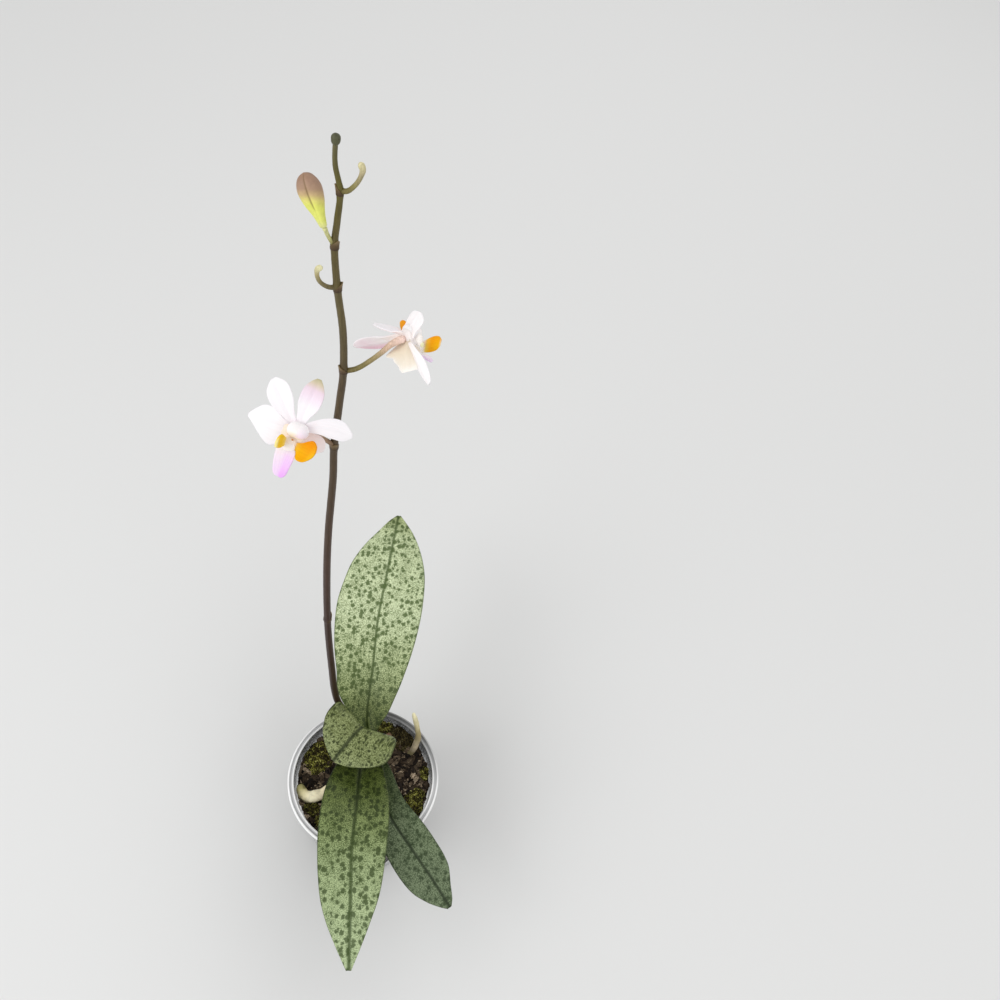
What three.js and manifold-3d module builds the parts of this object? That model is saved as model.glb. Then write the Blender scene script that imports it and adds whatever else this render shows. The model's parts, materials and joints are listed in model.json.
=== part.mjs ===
// A potted moth orchid with mottled leaves, one flower spike, two open blooms and a bud.
// Millimetres, +Z up. The origin is the middle of the pot's underside, and the front leaf points to -Y.

import * as THREE from 'three';
import { mergeVertices } from 'three/addons/utils/BufferGeometryUtils.js';
import Module from 'manifold-3d';

const wasm = await Module();
wasm.setup();

// Pot
const potHeight = 82;
const rimRadius = 45;
const rimWidth = 3.7;
const rimDrop = 3.2;
const potWall = 1.0;
const potFloor = 1.4;
const potFootRadius = 32.5;
const potSides = 48;
const drainHoleRadius = 3.6;
const drainHoleCount = 8;
const drainRingRadius = 21;

// Bark filling, with its moss
const barkTop = 72.5;
const barkClearance = 0.5;
const barkReliefDepth = 1.1;
const chipCount = 30;
const chipStand = 0.2;
const mossDepth = 2.4;
const mossBump = 1.5;
const pocketRise = 12;
const seatGap = 0.3;
const lipSeatGap = 0.4;

// Stem
const stemCentre = new THREE.Vector3(-2, 18, 0);
const stemRadius = 5.4;
const stemFoot = 58;
const stemTop = 92;

// Spike
const stalkRadius = 0.95;
const bractLength = 4.6;
const bractSpread = 1.22;

// Blades
const leafMidThickness = 1.7;
const leafEdgeThickness = 0.8;
const tepalMidThickness = 0.85;
const tepalEdgeThickness = 0.62;
const lobeThickness = 0.9;
const tongueThickness = 1;

// Bud
const budLength = 16.9;
const budSeam = 0.05;

const v = (x, y, z) => new THREE.Vector3(x, y, z);

const materials = {
  pot: new THREE.MeshStandardMaterial({
    color: 0xe4e8e8, roughness: 0.25, metalness: 0, transparent: true, opacity: 0.45,
  }),
  bark: new THREE.MeshStandardMaterial({ color: 0x3a2b20, roughness: 0.95, metalness: 0 }),
  moss: new THREE.MeshStandardMaterial({ color: 0x5d651f, roughness: 1, metalness: 0 }),
  dryMoss: new THREE.MeshStandardMaterial({ color: 0x5a4a2e, roughness: 1, metalness: 0 }),
  root: new THREE.MeshStandardMaterial({ color: 0xb7ab84, roughness: 0.8, metalness: 0 }),
  stem: new THREE.MeshStandardMaterial({ color: 0x4c5a2c, roughness: 0.6, metalness: 0 }),
  leaf: new THREE.MeshStandardMaterial({ color: 0x8ea071, roughness: 0.5, metalness: 0 }),
  darkLeaf: new THREE.MeshStandardMaterial({ color: 0x55693f, roughness: 0.55, metalness: 0 }),
  spike: new THREE.MeshStandardMaterial({ color: 0x4a3a22, roughness: 0.55, metalness: 0 }),
  tepal: new THREE.MeshStandardMaterial({ color: 0xf6f0f4, roughness: 0.5, metalness: 0 }),
  lobe: new THREE.MeshStandardMaterial({ color: 0xf0a012, roughness: 0.4, metalness: 0 }),
  tongue: new THREE.MeshStandardMaterial({ color: 0xe4c3f2, roughness: 0.45, metalness: 0 }),
  bud: new THREE.MeshStandardMaterial({ color: 0xa98d84, roughness: 0.55, metalness: 0 }),
};

// A repeatable draw of numbers between 0 and 1.
function makeRandom(seed) {
  let state = seed;
  return () => {
    state = (state + 0x6d2b79f5) | 0;
    let mixed = Math.imul(state ^ (state >>> 15), 1 | state);
    mixed = (mixed + Math.imul(mixed ^ (mixed >>> 7), 61 | mixed)) ^ mixed;
    return ((mixed ^ (mixed >>> 14)) >>> 0) / 4294967296;
  };
}

// A smooth value at t through [t, value] stops.
function smoothAt(stops, t) {
  let i = 0;
  while (i < stops.length - 2 && t > stops[i + 1][0]) i += 1;
  const slope = (k) => {
    const a = stops[Math.max(k - 1, 0)];
    const b = stops[Math.min(k + 1, stops.length - 1)];
    return (b[1] - a[1]) / (b[0] - a[0]);
  };
  const [t0, y0] = stops[i];
  const [t1, y1] = stops[i + 1];
  const span = t1 - t0;
  const u = THREE.MathUtils.clamp((t - t0) / span, 0, 1);
  const h = u * u * (3 - 2 * u);
  const rise = u * (1 - u) * ((1 - u) * slope(i) - u * slope(i + 1)) * span;
  return y0 + (y1 - y0) * h + rise;
}

function volumeOf(points, faces) {
  let six = 0;
  for (const [a, b, c] of faces) {
    six += points[a].dot(points[b].clone().cross(points[c]));
  }
  return six / 6;
}

// One closed body from corner points and triangles, turned so that its faces point out.
function closedBody(points, faces) {
  const flip = volumeOf(points, faces) < 0;
  const geometry = new THREE.BufferGeometry();
  const corners = points.flatMap((p) => p.toArray());
  geometry.setAttribute('position', new THREE.Float32BufferAttribute(corners, 3));
  geometry.setIndex(faces.flatMap(([a, b, c]) => (flip ? [a, c, b] : [a, b, c])));
  return geometry;
}

// A blade from its middle surface: pointAt(t, s) with t along and s from -1 to 1 across.
function bladeBody({ pointAt, thicknessAt, alongSteps, acrossSteps }) {
  const middle = [];
  for (let i = 0; i <= alongSteps; i += 1) {
    for (let j = 0; j <= acrossSteps; j += 1) {
      middle.push(pointAt(i / alongSteps, (2 * j) / acrossSteps - 1));
    }
  }
  const row = acrossSteps + 1;
  const at = (i, j) => middle[i * row + j];
  const count = middle.length;
  const points = new Array(2 * count);
  for (let i = 0; i <= alongSteps; i += 1) {
    for (let j = 0; j <= acrossSteps; j += 1) {
      const along = at(Math.min(i + 1, alongSteps), j).clone().sub(at(Math.max(i - 1, 0), j));
      const across = at(i, Math.min(j + 1, acrossSteps)).clone().sub(at(i, Math.max(j - 1, 0)));
      const half = thicknessAt(i / alongSteps, (2 * j) / acrossSteps - 1) / 2;
      const normal = across.cross(along).normalize().multiplyScalar(half);
      points[i * row + j] = at(i, j).clone().add(normal);
      points[count + i * row + j] = at(i, j).clone().sub(normal);
    }
  }
  const faces = [];
  const quad = (a, b, c, d) => faces.push([a, b, c], [a, c, d]);
  for (let i = 0; i < alongSteps; i += 1) {
    for (let j = 0; j < acrossSteps; j += 1) {
      const a = i * row + j;
      quad(a, a + 1, a + row + 1, a + row);
      faces.push([count + a, count + a + row + 1, count + a + 1]);
      faces.push([count + a, count + a + row, count + a + row + 1]);
    }
  }
  for (let j = 0; j < acrossSteps; j += 1) {
    const end = alongSteps * row + j;
    quad(j, count + j, count + j + 1, j + 1);
    quad(end + 1, count + end + 1, count + end, end);
  }
  for (let i = 0; i < alongSteps; i += 1) {
    const a = i * row;
    const b = a + acrossSteps;
    quad(a + row, count + a + row, count + a, a);
    quad(b, count + b, count + b + row, b + row);
  }
  return closedBody(points, faces);
}

// A round rod along a curve, its radius given by radiusAt(t), with flat ends.
function rodBody({ path, radiusAt, sides, steps }) {
  const curve = new THREE.CatmullRomCurve3(path, false, 'centripetal');
  const frames = curve.computeFrenetFrames(steps, false);
  const points = [];
  for (let i = 0; i <= steps; i += 1) {
    const centre = curve.getPointAt(i / steps);
    const radius = radiusAt(i / steps);
    for (let k = 0; k < sides; k += 1) {
      const turn = (2 * Math.PI * k) / sides;
      points.push(centre.clone()
        .addScaledVector(frames.normals[i], radius * Math.cos(turn))
        .addScaledVector(frames.binormals[i], radius * Math.sin(turn)));
    }
  }
  points.push(curve.getPointAt(0), curve.getPointAt(1));
  const faces = [];
  for (let i = 0; i < steps; i += 1) {
    for (let k = 0; k < sides; k += 1) {
      const a = i * sides + k;
      const b = i * sides + ((k + 1) % sides);
      faces.push([a, b, b + sides], [a, b + sides, a + sides]);
    }
  }
  const start = (steps + 1) * sides;
  const last = steps * sides;
  for (let k = 0; k < sides; k += 1) {
    const next = (k + 1) % sides;
    faces.push([start, next, k], [start + 1, last + k, last + next]);
  }
  return closedBody(points, faces);
}

// A rounded body: latitude rings about the z axis, shaped by radiusAt(t, turn) and heightAt(t, turn).
function ringBody({ radiusAt, heightAt, rings, sides }) {
  const points = [];
  for (let i = 1; i < rings; i += 1) {
    for (let k = 0; k < sides; k += 1) {
      const turn = (2 * Math.PI * k) / sides;
      const radius = radiusAt(i / rings, turn);
      points.push(v(radius * Math.cos(turn), radius * Math.sin(turn), heightAt(i / rings, turn)));
    }
  }
  points.push(v(0, 0, heightAt(0, 0)), v(0, 0, heightAt(1, 0)));
  const faces = [];
  for (let i = 0; i < rings - 2; i += 1) {
    for (let k = 0; k < sides; k += 1) {
      const a = i * sides + k;
      const b = i * sides + ((k + 1) % sides);
      faces.push([a, b, b + sides], [a, b + sides, a + sides]);
    }
  }
  const low = (rings - 1) * sides;
  const last = (rings - 2) * sides;
  for (let k = 0; k < sides; k += 1) {
    const next = (k + 1) % sides;
    faces.push([low, next, k], [low + 1, last + k, last + next]);
  }
  return closedBody(points, faces);
}

const eggBody = (a, b, c, rings = 6, sides = 10) => ringBody({
  radiusAt: (t, turn) => Math.sin(Math.PI * t) * Math.hypot(a * Math.cos(turn), b * Math.sin(turn)),
  heightAt: (t) => -c * Math.cos(Math.PI * t),
  rings,
  sides,
});

function solidOf(geometry) {
  const plain = geometry.clone();
  plain.deleteAttribute('normal');
  plain.deleteAttribute('uv');
  const merged = mergeVertices(plain, 1e-4);
  return new wasm.Manifold(new wasm.Mesh({
    numProp: 3,
    vertProperties: new Float32Array(merged.attributes.position.array),
    triVerts: new Uint32Array(merged.index.array),
  }));
}

function geometryOf(solid) {
  const { vertProperties, triVerts } = solid.getMesh();
  const geometry = new THREE.BufferGeometry();
  geometry.setAttribute('position', new THREE.BufferAttribute(vertProperties, 3));
  geometry.setIndex(new THREE.BufferAttribute(triVerts, 1));
  return geometry;
}

const join = (geometries) => geometries.map(solidOf).reduce((whole, next) => whole.add(next));
const cut = (solid, geometries) => (
  geometries.map(solidOf).reduce((whole, next) => whole.subtract(next), solid)
);

function addMesh(parent, name, geometry, material) {
  geometry.computeVertexNormals();
  const mesh = new THREE.Mesh(geometry, material);
  mesh.name = name;
  parent.add(mesh);
}

const orchid = new THREE.Group();

// Pot

const potInsideRadius = (z) => {
  const up = (z - potFloor) / (potHeight - potFloor);
  return THREE.MathUtils.lerp(potFootRadius - potWall, rimRadius - rimWidth, up);
};

function makePot() {
  const outer = rimRadius;
  const inner = rimRadius - rimWidth;
  const neck = inner + potWall;
  const profile = [
    [0, 0], [potFootRadius - 1.2, 0], [potFootRadius, 1.2], [neck, potHeight - rimDrop],
    [outer - 0.9, potHeight - rimDrop], [outer, potHeight - rimDrop + 0.8], [outer, potHeight - 0.8],
    [outer - 0.8, potHeight], [inner + 0.8, potHeight], [inner, potHeight - 0.8],
    [potFootRadius - potWall, potFloor], [0, potFloor],
  ].map(([r, z]) => new THREE.Vector2(r, z));
  const shell = new THREE.LatheGeometry(profile, potSides).rotateX(Math.PI / 2);
  const drains = [];
  for (let k = 0; k < drainHoleCount; k += 1) {
    const turn = (2 * Math.PI * k) / drainHoleCount;
    drains.push(new THREE.CylinderGeometry(drainHoleRadius, drainHoleRadius, 6, 12)
      .rotateX(Math.PI / 2)
      .translate(drainRingRadius * Math.cos(turn), drainRingRadius * Math.sin(turn), 0));
  }
  addMesh(orchid, 'pot', geometryOf(cut(solidOf(shell), drains)), materials.pot);
}

// Roots that show above the bark

const roots = {
  root_left: {
    path: [
      v(-8, 4, 70.5), v(-15, -6, 75), v(-24, -14, 76), v(-31, -15.6, 75.8), v(-35, -11.9, 77.6),
      v(-34.6, -8.8, 80.4),
    ],
    radiusAt: (t) => smoothAt([[0, 2.6], [0.3, 3.4], [0.8, 3.5], [1, 1.6]], t),
    sides: 10,
    steps: 16,
  },
  root_back_right: {
    path: [
      v(17, 21, 64), v(24, 24, 73), v(26.4, 26.2, 80), v(27.2, 29.8, 87), v(24.8, 35.6, 91.2),
      v(21.6, 41.2, 94),
    ],
    radiusAt: (t) => smoothAt([[0, 2], [0.5, 2.3], [0.85, 1.9], [1, 0.8]], t),
    sides: 8,
    steps: 12,
  },
  root_back: {
    path: [v(3, 24.5, 68), v(6.8, 28.6, 75.2), v(8.8, 32, 75), v(11, 34.6, 68)],
    radiusAt: (t) => smoothAt([[0, 1.7], [0.5, 1.9], [1, 1.5]], t),
    sides: 8,
    steps: 10,
  },
};

function makeRoots() {
  for (const [name, root] of Object.entries(roots)) {
    addMesh(orchid, name, rodBody(root), materials.root);
  }
}

// A hole follows its root and runs a little past both of its ends.
const rootHoles = () => Object.values(roots).map((root) => {
  const ends = [root.path[0], root.path[root.path.length - 1]];
  const next = [root.path[1], root.path[root.path.length - 2]];
  const beyond = (end, k) => end.clone().add(end.clone().sub(next[k]).setLength(2 * seatGap));
  const [before, after] = ends.map(beyond);
  return rodBody({
    ...root,
    path: [before, ...root.path, after],
    radiusAt: (t) => root.radiusAt(t) + seatGap + 0.1,
  });
});

// Stem: a short column wrapped in the sheaths of old leaf bases

function stemBody(grow) {
  const collars = [[0, 0.9], [0.3, 0.95], [0.45, 1.12], [0.62, 0.94], [0.72, 1.1], [0.9, 0.9], [1, 0.62]];
  return ringBody({
    radiusAt: (t) => (t < 0.02 ? 0 : stemRadius * smoothAt(collars, t) + grow),
    heightAt: (t) => THREE.MathUtils.lerp(stemFoot - grow, stemTop + grow, t),
    rings: 14,
    sides: 14,
  }).translate(stemCentre.x, stemCentre.y, 0);
}

// Moss patches, in pockets of the bark

const mossPatches = {
  moss_left: {
    centre: [-30.5, 9.5], size: [7.2, 11.5], turn: -0.25,
    rise: 3.6, seed: 5, material: 'moss',
  },
  moss_right: {
    centre: [32.5, -7.5], size: [5.4, 9.5], turn: 0.2,
    rise: 3.2, seed: 11, material: 'moss',
  },
  moss_back: {
    centre: [16, 30.6], size: [8, 4.4], turn: -0.55,
    rise: 2.8, seed: 17, material: 'dryMoss',
  },
};

function mossBody(patch, grow) {
  const random = makeRandom(patch.seed);
  const sides = 22;
  const rings = 5;
  const ragged = Array.from({ length: sides }, () => 0.84 + 0.16 * random());
  const bumps = Array.from({ length: sides * rings }, () => random());
  const [cx, cy] = patch.centre;
  const spokeOf = (turn) => Math.round((turn / (2 * Math.PI)) * sides) % sides;
  const topRing = 2;
  return ringBody({
    radiusAt: (t, turn) => {
      const ring = Math.round(t * (rings + topRing));
      const spread = ring <= topRing ? 1 : 1 - (ring - topRing) / rings;
      const reach = Math.hypot(patch.size[0] * Math.cos(turn), patch.size[1] * Math.sin(turn));
      return spread * (reach * ragged[spokeOf(turn)] + grow);
    },
    heightAt: (t, turn) => {
      const ring = Math.round(t * (rings + topRing));
      if (ring <= 1) return barkTop - mossDepth - grow;
      if (ring === topRing) return barkTop + (grow > 0 ? pocketRise : 0);
      const inward = (ring - topRing) / rings;
      if (grow > 0) return barkTop + pocketRise;
      const bump = mossBump * bumps[(ring - topRing - 1) * sides + spokeOf(turn)];
      return barkTop + 0.7 * patch.rise * Math.sin((Math.PI / 2) * inward) + bump;
    },
    rings: rings + topRing,
    sides,
  }).rotateZ(patch.turn).translate(cx, cy, 0);
}

function makeMoss() {
  const reach = potInsideRadius(barkTop - mossDepth) - barkClearance;
  const insidePot = solidOf(new THREE.CylinderGeometry(reach, reach, 4 * pocketRise, 36)
    .rotateX(Math.PI / 2)
    .translate(0, 0, barkTop));
  for (const [name, patch] of Object.entries(mossPatches)) {
    const others = [...rootHoles(), stemBody(seatGap)];
    const cushion = cut(solidOf(mossBody(patch, 0)).intersect(insidePot), others);
    addMesh(orchid, name, geometryOf(cushion), materials[patch.material]);
  }
}

// Bark: one bed with uneven sides, and chips sunk into its top

function chipBody(random, centre, size, turns) {
  const box = new THREE.BoxGeometry(size[0], size[1], size[2]);
  const plain = box.clone();
  plain.deleteAttribute('normal');
  plain.deleteAttribute('uv');
  const chip = mergeVertices(plain, 1e-4);
  const corner = chip.attributes.position;
  for (let k = 0; k < corner.count; k += 1) {
    const shrink = () => 0.72 + 0.28 * random();
    corner.setXYZ(k, corner.getX(k) * shrink(), corner.getY(k) * shrink(), corner.getZ(k) * shrink());
  }
  chip.rotateX(turns[0]).rotateY(turns[1]).rotateZ(turns[2]).translate(centre.x, centre.y, centre.z);
  return chip;
}

function makeBark() {
  const random = makeRandom(23);
  const sides = 32;
  const levels = 6;
  const rings = 3;
  const total = levels + rings + 2;
  const relief = Array.from({ length: sides * (total + 1) }, () => random());
  const floor = potFloor + seatGap;
  const spokeOf = (turn) => Math.round((turn / (2 * Math.PI)) * sides) % sides;
  const levelHeight = (step) => THREE.MathUtils.lerp(floor, barkTop - 1.5, (step - 1) / levels);
  const bed = ringBody({
    radiusAt: (t, turn) => {
      const step = Math.round(t * total);
      const rough = relief[step * sides + spokeOf(turn)] ?? 0;
      const side = potInsideRadius(levelHeight(Math.min(step, levels + 1))) - barkClearance;
      if (step <= levels + 1) return side - barkReliefDepth * rough;
      return (side - barkReliefDepth) * (1 - (step - levels - 1) / (rings + 1));
    },
    heightAt: (t, turn) => {
      const step = Math.round(t * total);
      if (step <= 1) return floor;
      if (step <= levels + 1) return levelHeight(step);
      return barkTop - 1.6 + 1.8 * relief[(step - 1) * sides + spokeOf(turn)];
    },
    rings: total,
    sides,
  });
  const chips = [];
  const chipReach = potInsideRadius(barkTop) - barkClearance - 6.5;
  for (let k = 0; k < chipCount; k += 1) {
    const radius = chipReach * Math.sqrt((k + 0.5) / chipCount);
    const turn = k * 2.39996;
    const size = [6 + 6 * random(), 3.5 + 3 * random(), 2.5 + 2 * random()];
    const height = barkTop + chipStand + 1.4 * random();
    const centre = v(radius * Math.cos(turn), radius * Math.sin(turn), height);
    const turns = [0.7 * (random() - 0.5), 0.7 * (random() - 0.5), Math.PI * random()];
    chips.push(chipBody(random, centre, size, turns));
  }
  const pockets = Object.values(mossPatches).map((patch) => mossBody(patch, seatGap));
  const whole = cut(join([bed, ...chips]), [...pockets, ...rootHoles(), stemBody(seatGap)]);
  addMesh(orchid, 'potting_bark', geometryOf(largestPiece(whole)), materials.bark);
}

// Chips cut loose by a pocket or a root are dropped.
function largestPiece(solid) {
  return solid.decompose().reduce((a, b) => (a.volume() > b.volume() ? a : b));
}

// Leaves

const leaves = {
  leaf_back: {
    spine: [
      v(-2.6, 24, 87.5), v(-6, 34.2, 93), v(-8, 56.7, 106), v(-11.5, 87.3, 117), v(-12.4, 113.4, 124),
      v(-14.5, 162.3, 127),
    ],
    side: v(1, 0, 0),
    left: [
      [0, 4.2], [0.05, 5], [0.1, 11.6], [0.17, 19], [0.26, 22], [0.35, 24.6], [0.45, 26.2],
      [0.54, 27], [0.63, 25.9], [0.72, 23.4], [0.82, 17.4], [0.91, 10.3], [0.97, 5.3], [1, 1.3],
    ],
    right: [
      [0, 4.4], [0.08, 12], [0.17, 16.2], [0.26, 20], [0.35, 23.4], [0.45, 25.8], [0.54, 26.5],
      [0.63, 25.7], [0.72, 23.7], [0.82, 19.1], [0.91, 12.3], [0.97, 5.4], [1, 1.3],
    ],
    fold: [[0, 0.75], [0.15, 0.3], [0.5, 0.12], [1, 0.1]],
    wave: 0.8,
    material: 'leaf',
  },
  leaf_front: {
    spine: [
      v(-2.1, 12, 88), v(-2.7, 6.4, 93), v(2, -29.4, 101), v(4.1, -47.4, 102), v(9.4, -72.2, 98.5),
      v(16.8, -107.7, 88),
    ],
    side: v(-1, 0, 0),
    left: [
      [0, 4.4], [0.05, 9.2], [0.14, 14.1], [0.24, 17.4], [0.33, 18.8], [0.43, 19.5], [0.52, 19.2],
      [0.62, 17.8], [0.72, 15.2], [0.81, 11.2], [0.905, 6.5], [0.97, 3], [1, 1.2],
    ],
    right: [
      [0, 4.4], [0.05, 9.6], [0.14, 14.8], [0.24, 18.5], [0.33, 19.9], [0.43, 19.7], [0.52, 18.8],
      [0.62, 17.9], [0.72, 16.3], [0.81, 12.9], [0.905, 7.5], [0.97, 3.3], [1, 1.2],
    ],
    fold: [[0, 0.75], [0.12, 0.3], [0.5, 0.12], [1, 0.14]],
    wave: 0.6,
    material: 'leaf',
  },
  leaf_front_right: {
    spine: [
      v(3, 12.5, 81.6), v(8, 3, 86.2), v(20, -22.3, 90.5), v(37.4, -39.3, 87), v(51.4, -50.6, 79.6),
      v(64.5, -61.5, 70),
    ],
    side: v(-0.75, -0.66, 0),
    left: [
      [0, 4], [0.12, 7.4], [0.3, 10.4], [0.5, 13.6], [0.65, 14], [0.8, 12.2], [0.9, 7.3],
      [0.97, 4], [1, 1.3],
    ],
    right: [
      [0, 4], [0.12, 7.4], [0.3, 9.8], [0.5, 13], [0.65, 14.7], [0.8, 13.6], [0.9, 9.2],
      [0.97, 4.2], [1, 1.3],
    ],
    fold: [[0, 0.7], [0.15, 0.3], [0.5, 0.14], [1, 0.1]],
    wave: 0.5,
    material: 'darkLeaf',
  },
  leaf_young: {
    spine: [
      v(-3.1, 16.8, 92.3), v(-3, 16.6, 104), v(-5.4, 15, 115.1), v(-11, 5.9, 113.8),
      v(-17, -4.7, 109.2),
    ],
    side: v(-0.916, 0.398, 0.045),
    left: [
      [0, 3.6], [0.2, 8.5], [0.38, 14], [0.5, 24.8], [0.62, 25.8], [0.76, 21.5], [0.87, 14.8],
      [0.95, 8.5], [1, 1.4],
    ],
    right: [
      [0, 3.4], [0.2, 6.1], [0.36, 11.5], [0.48, 20.1], [0.58, 20.6], [0.7, 18.9], [0.82, 14.9],
      [0.93, 8], [1, 1.4],
    ],
    fold: [[0, 0.6], [0.3, 0.34], [1, 0.23]],
    tilt: 0.03,
    wave: 0.3,
    material: 'leaf',
  },
};

function leafBody(leaf, alongSteps, acrossSteps) {
  const curve = new THREE.CatmullRomCurve3(leaf.spine, false, 'centripetal');
  return bladeBody({
    alongSteps,
    acrossSteps,
    pointAt: (t, s) => {
      const centre = curve.getPointAt(t);
      const forward = curve.getTangentAt(t);
      const side = leaf.side.clone().addScaledVector(forward, -leaf.side.dot(forward)).normalize();
      const up = side.clone().cross(forward);
      const reach = s * smoothAt(s < 0 ? leaf.left : leaf.right, t);
      const ripple = leaf.wave * s * s * Math.sin(2 * Math.PI * (2.6 * t + (s < 0 ? 0.15 : 0.6)));
      const slope = smoothAt(leaf.fold, t) - (leaf.tilt ?? 0) * Math.sign(s);
      const crown = -0.05 * Math.abs(reach) * Math.abs(s);
      const lift = Math.abs(reach) * slope + ripple + crown;
      return centre.addScaledVector(side, reach).addScaledVector(up, lift);
    },
    thicknessAt: (t, s) => THREE.MathUtils.lerp(leafMidThickness, leafEdgeThickness, Math.abs(s)),
  });
}

function makeLeaves() {
  for (const [name, leaf] of Object.entries(leaves)) {
    addMesh(orchid, name, leafBody(leaf, 22, 8), materials[leaf.material]);
  }
}

// Flower spike

const spikeAxis = [
  v(-8.7, 21.6, 84.6), v(-14, 25.6, 92), v(-19.6, 29.8, 103), v(-23.1, 30.2, 114), v(-24.5, 28.4, 134),
  v(-25, 27, 160), v(-25.5, 25.4, 190), v(-25.6, 24.2, 219), v(-24.6, 23, 266), v(-22.9, 22, 300.6),
  v(-20, 21, 339.7), v(-19, 20, 361.4), v(-16.3, 19, 388), v(-14.5, 18, 405.5), v(-14.1, 16.5, 426.7),
  v(-15.4, 15.1, 446), v(-15.8, 14, 464.2), v(-14.6, 13, 474), v(-13.5, 12.5, 485.2),
  v(-14.7, 12, 494.4), v(-14.1, 11, 504.4),
];
const spikeNodes = [
  [-25.6, 24.2, 219], [-19, 20, 361.4], [-14.3, 17.8, 407], [-15.4, 15.1, 446.5], [-15.8, 14, 464],
  [-13.5, 12.5, 485],
];
const stalks = [
  [
    v(-19, 20, 361.4), v(-20.4, 17.4, 366.5), v(-22.6, 14.8, 371.2), v(-26.2, 12.2, 376.2),
    v(-29.4, 10.6, 378.9),
  ],
  [
    v(-14, 18, 406.2), v(-9.6, 18, 408.6), v(-5.2, 18.9, 412.6), v(-1.4, 20, 416.6),
    v(1.6, 21.2, 420.1), v(4.35, 22.8, 421.5),
  ],
  [
    v(-15.8, 14, 464.4), v(-16.6, 13.2, 466.2), v(-17.3, 12, 469), v(-18, 10.9, 472.6),
  ],
  [
    v(-15.4, 15.1, 446.6), v(-18.2, 14.1, 447), v(-20.3, 13.2, 449), v(-21.2, 12.6, 452),
    v(-20.7, 12.1, 455.3), v(-19.2, 12, 456.4),
  ],
  [
    v(-13.5, 12.5, 485.2), v(-11.4, 12.1, 485.8), v(-9.2, 11.6, 488.2), v(-7.4, 11.1, 491.5),
    v(-6.5, 10.7, 494.9), v(-7.3, 10.5, 497.2),
  ],
];
const spikeKnob = [v(-14.4, 11.4, 500.6), v(-14.2, 11.2, 502.4), v(-14.1, 11, 504.4)];

const spikeRadii = [[0, 2.1], [0.3, 1.8], [0.45, 1.75], [0.75, 1.4], [0.93, 1.05], [0.97, 0.8], [1, 0.75]];
const hookRadii = [[0, 0.9], [0.7, 0.75], [0.93, 1], [1, 0.45]];
const knobRadii = [[0, 0.7], [0.3, 1.25], [0.8, 1.35], [1, 1]];
const spikeRadius = (t) => smoothAt(spikeRadii, t);

// A bract is a small cone that hugs the axis just above its node.
function bractBody([x, y, z], radius) {
  return new THREE.ConeGeometry(radius * bractSpread, bractLength, 8)
    .rotateX(Math.PI / 2)
    .translate(x, y - 0.1, z + 0.7);
}

function makeSpike() {
  const axis = rodBody({ path: spikeAxis, radiusAt: spikeRadius, sides: 8, steps: 72 });
  const knob = rodBody({ path: spikeKnob, radiusAt: (t) => smoothAt(knobRadii, t), sides: 8, steps: 5 });
  const pieces = [axis, knob];
  spikeNodes.forEach((node) => {
    const share = (node[2] - 60) / 445;
    pieces.push(bractBody(node, spikeRadius(share)));
  });
  stalks.forEach((path, index) => {
    const hooked = index > 2;
    pieces.push(rodBody({
      path,
      radiusAt: (t) => (hooked ? smoothAt(hookRadii, t) : stalkRadius * (1 + 0.15 * t)),
      sides: 7,
      steps: hooked ? 10 : 8,
    }));
  });
  addMesh(orchid, 'flower_spike', geometryOf(join(pieces)), materials.spike);
}

// Blooms: each is built facing +Z with its top sepal towards +Y, then turned and placed

const tepalShapes = {
  sepal: { both: [[0, 1.5], [0.25, 2.4], [0.45, 3.9], [0.6, 4.4], [0.78, 4], [0.92, 2.4], [1, 0.8]] },
  petal: { both: [[0, 1.3], [0.25, 2.1], [0.5, 4], [0.7, 4.6], [0.84, 4.1], [0.93, 2.7], [1, 0.9]] },
  slim: { both: [[0, 1.3], [0.3, 2.4], [0.5, 3.3], [0.7, 3.8], [0.84, 3.5], [0.94, 2], [1, 0.7]] },
  round: { both: [[0, 1.8], [0.3, 2.8], [0.55, 3.9], [0.75, 4.2], [0.9, 3.2], [1, 1]] },
  broad: {
    left: [[0, 2.4], [0.25, 6.6], [0.42, 8.2], [0.55, 7.4], [0.7, 5.3], [0.87, 2.6], [1, 0.7]],
    right: [[0, 2], [0.24, 2.7], [0.48, 5.6], [0.7, 5.7], [0.87, 3.3], [1, 0.7]],
  },
  ruffled: {
    left: [[0, 2], [0.25, 6], [0.38, 7.6], [0.5, 6.6], [0.64, 4.6], [0.8, 3.7], [1, 2.4]],
    right: [[0, 2], [0.3, 3.5], [0.6, 4], [0.9, 4.4], [1, 3.6]],
  },
};

const lobeShapes = {
  open: {
    upper: [[0, 0.8], [0.3, 1.2], [0.56, 3.4], [0.74, 5], [0.92, 3.6], [1, 1.4]],
    lower: [[0, 0.8], [0.25, 2], [0.5, 4.4], [0.8, 4.3], [0.93, 2.8], [1, 1.2]],
  },
  folded: {
    upper: [[0, 0.8], [0.3, 2.4], [0.6, 3.6], [0.85, 2.8], [1, 1.1]],
    lower: [[0, 0.8], [0.3, 1.6], [0.6, 2.2], [0.85, 1.8], [1, 0.9]],
  },
  round: {
    upper: [[0, 1], [0.3, 2.6], [0.6, 3.5], [0.85, 3], [1, 1.2]],
    lower: [[0, 1], [0.3, 2.6], [0.6, 3.5], [0.85, 3], [1, 1.2]],
  },
};

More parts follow.
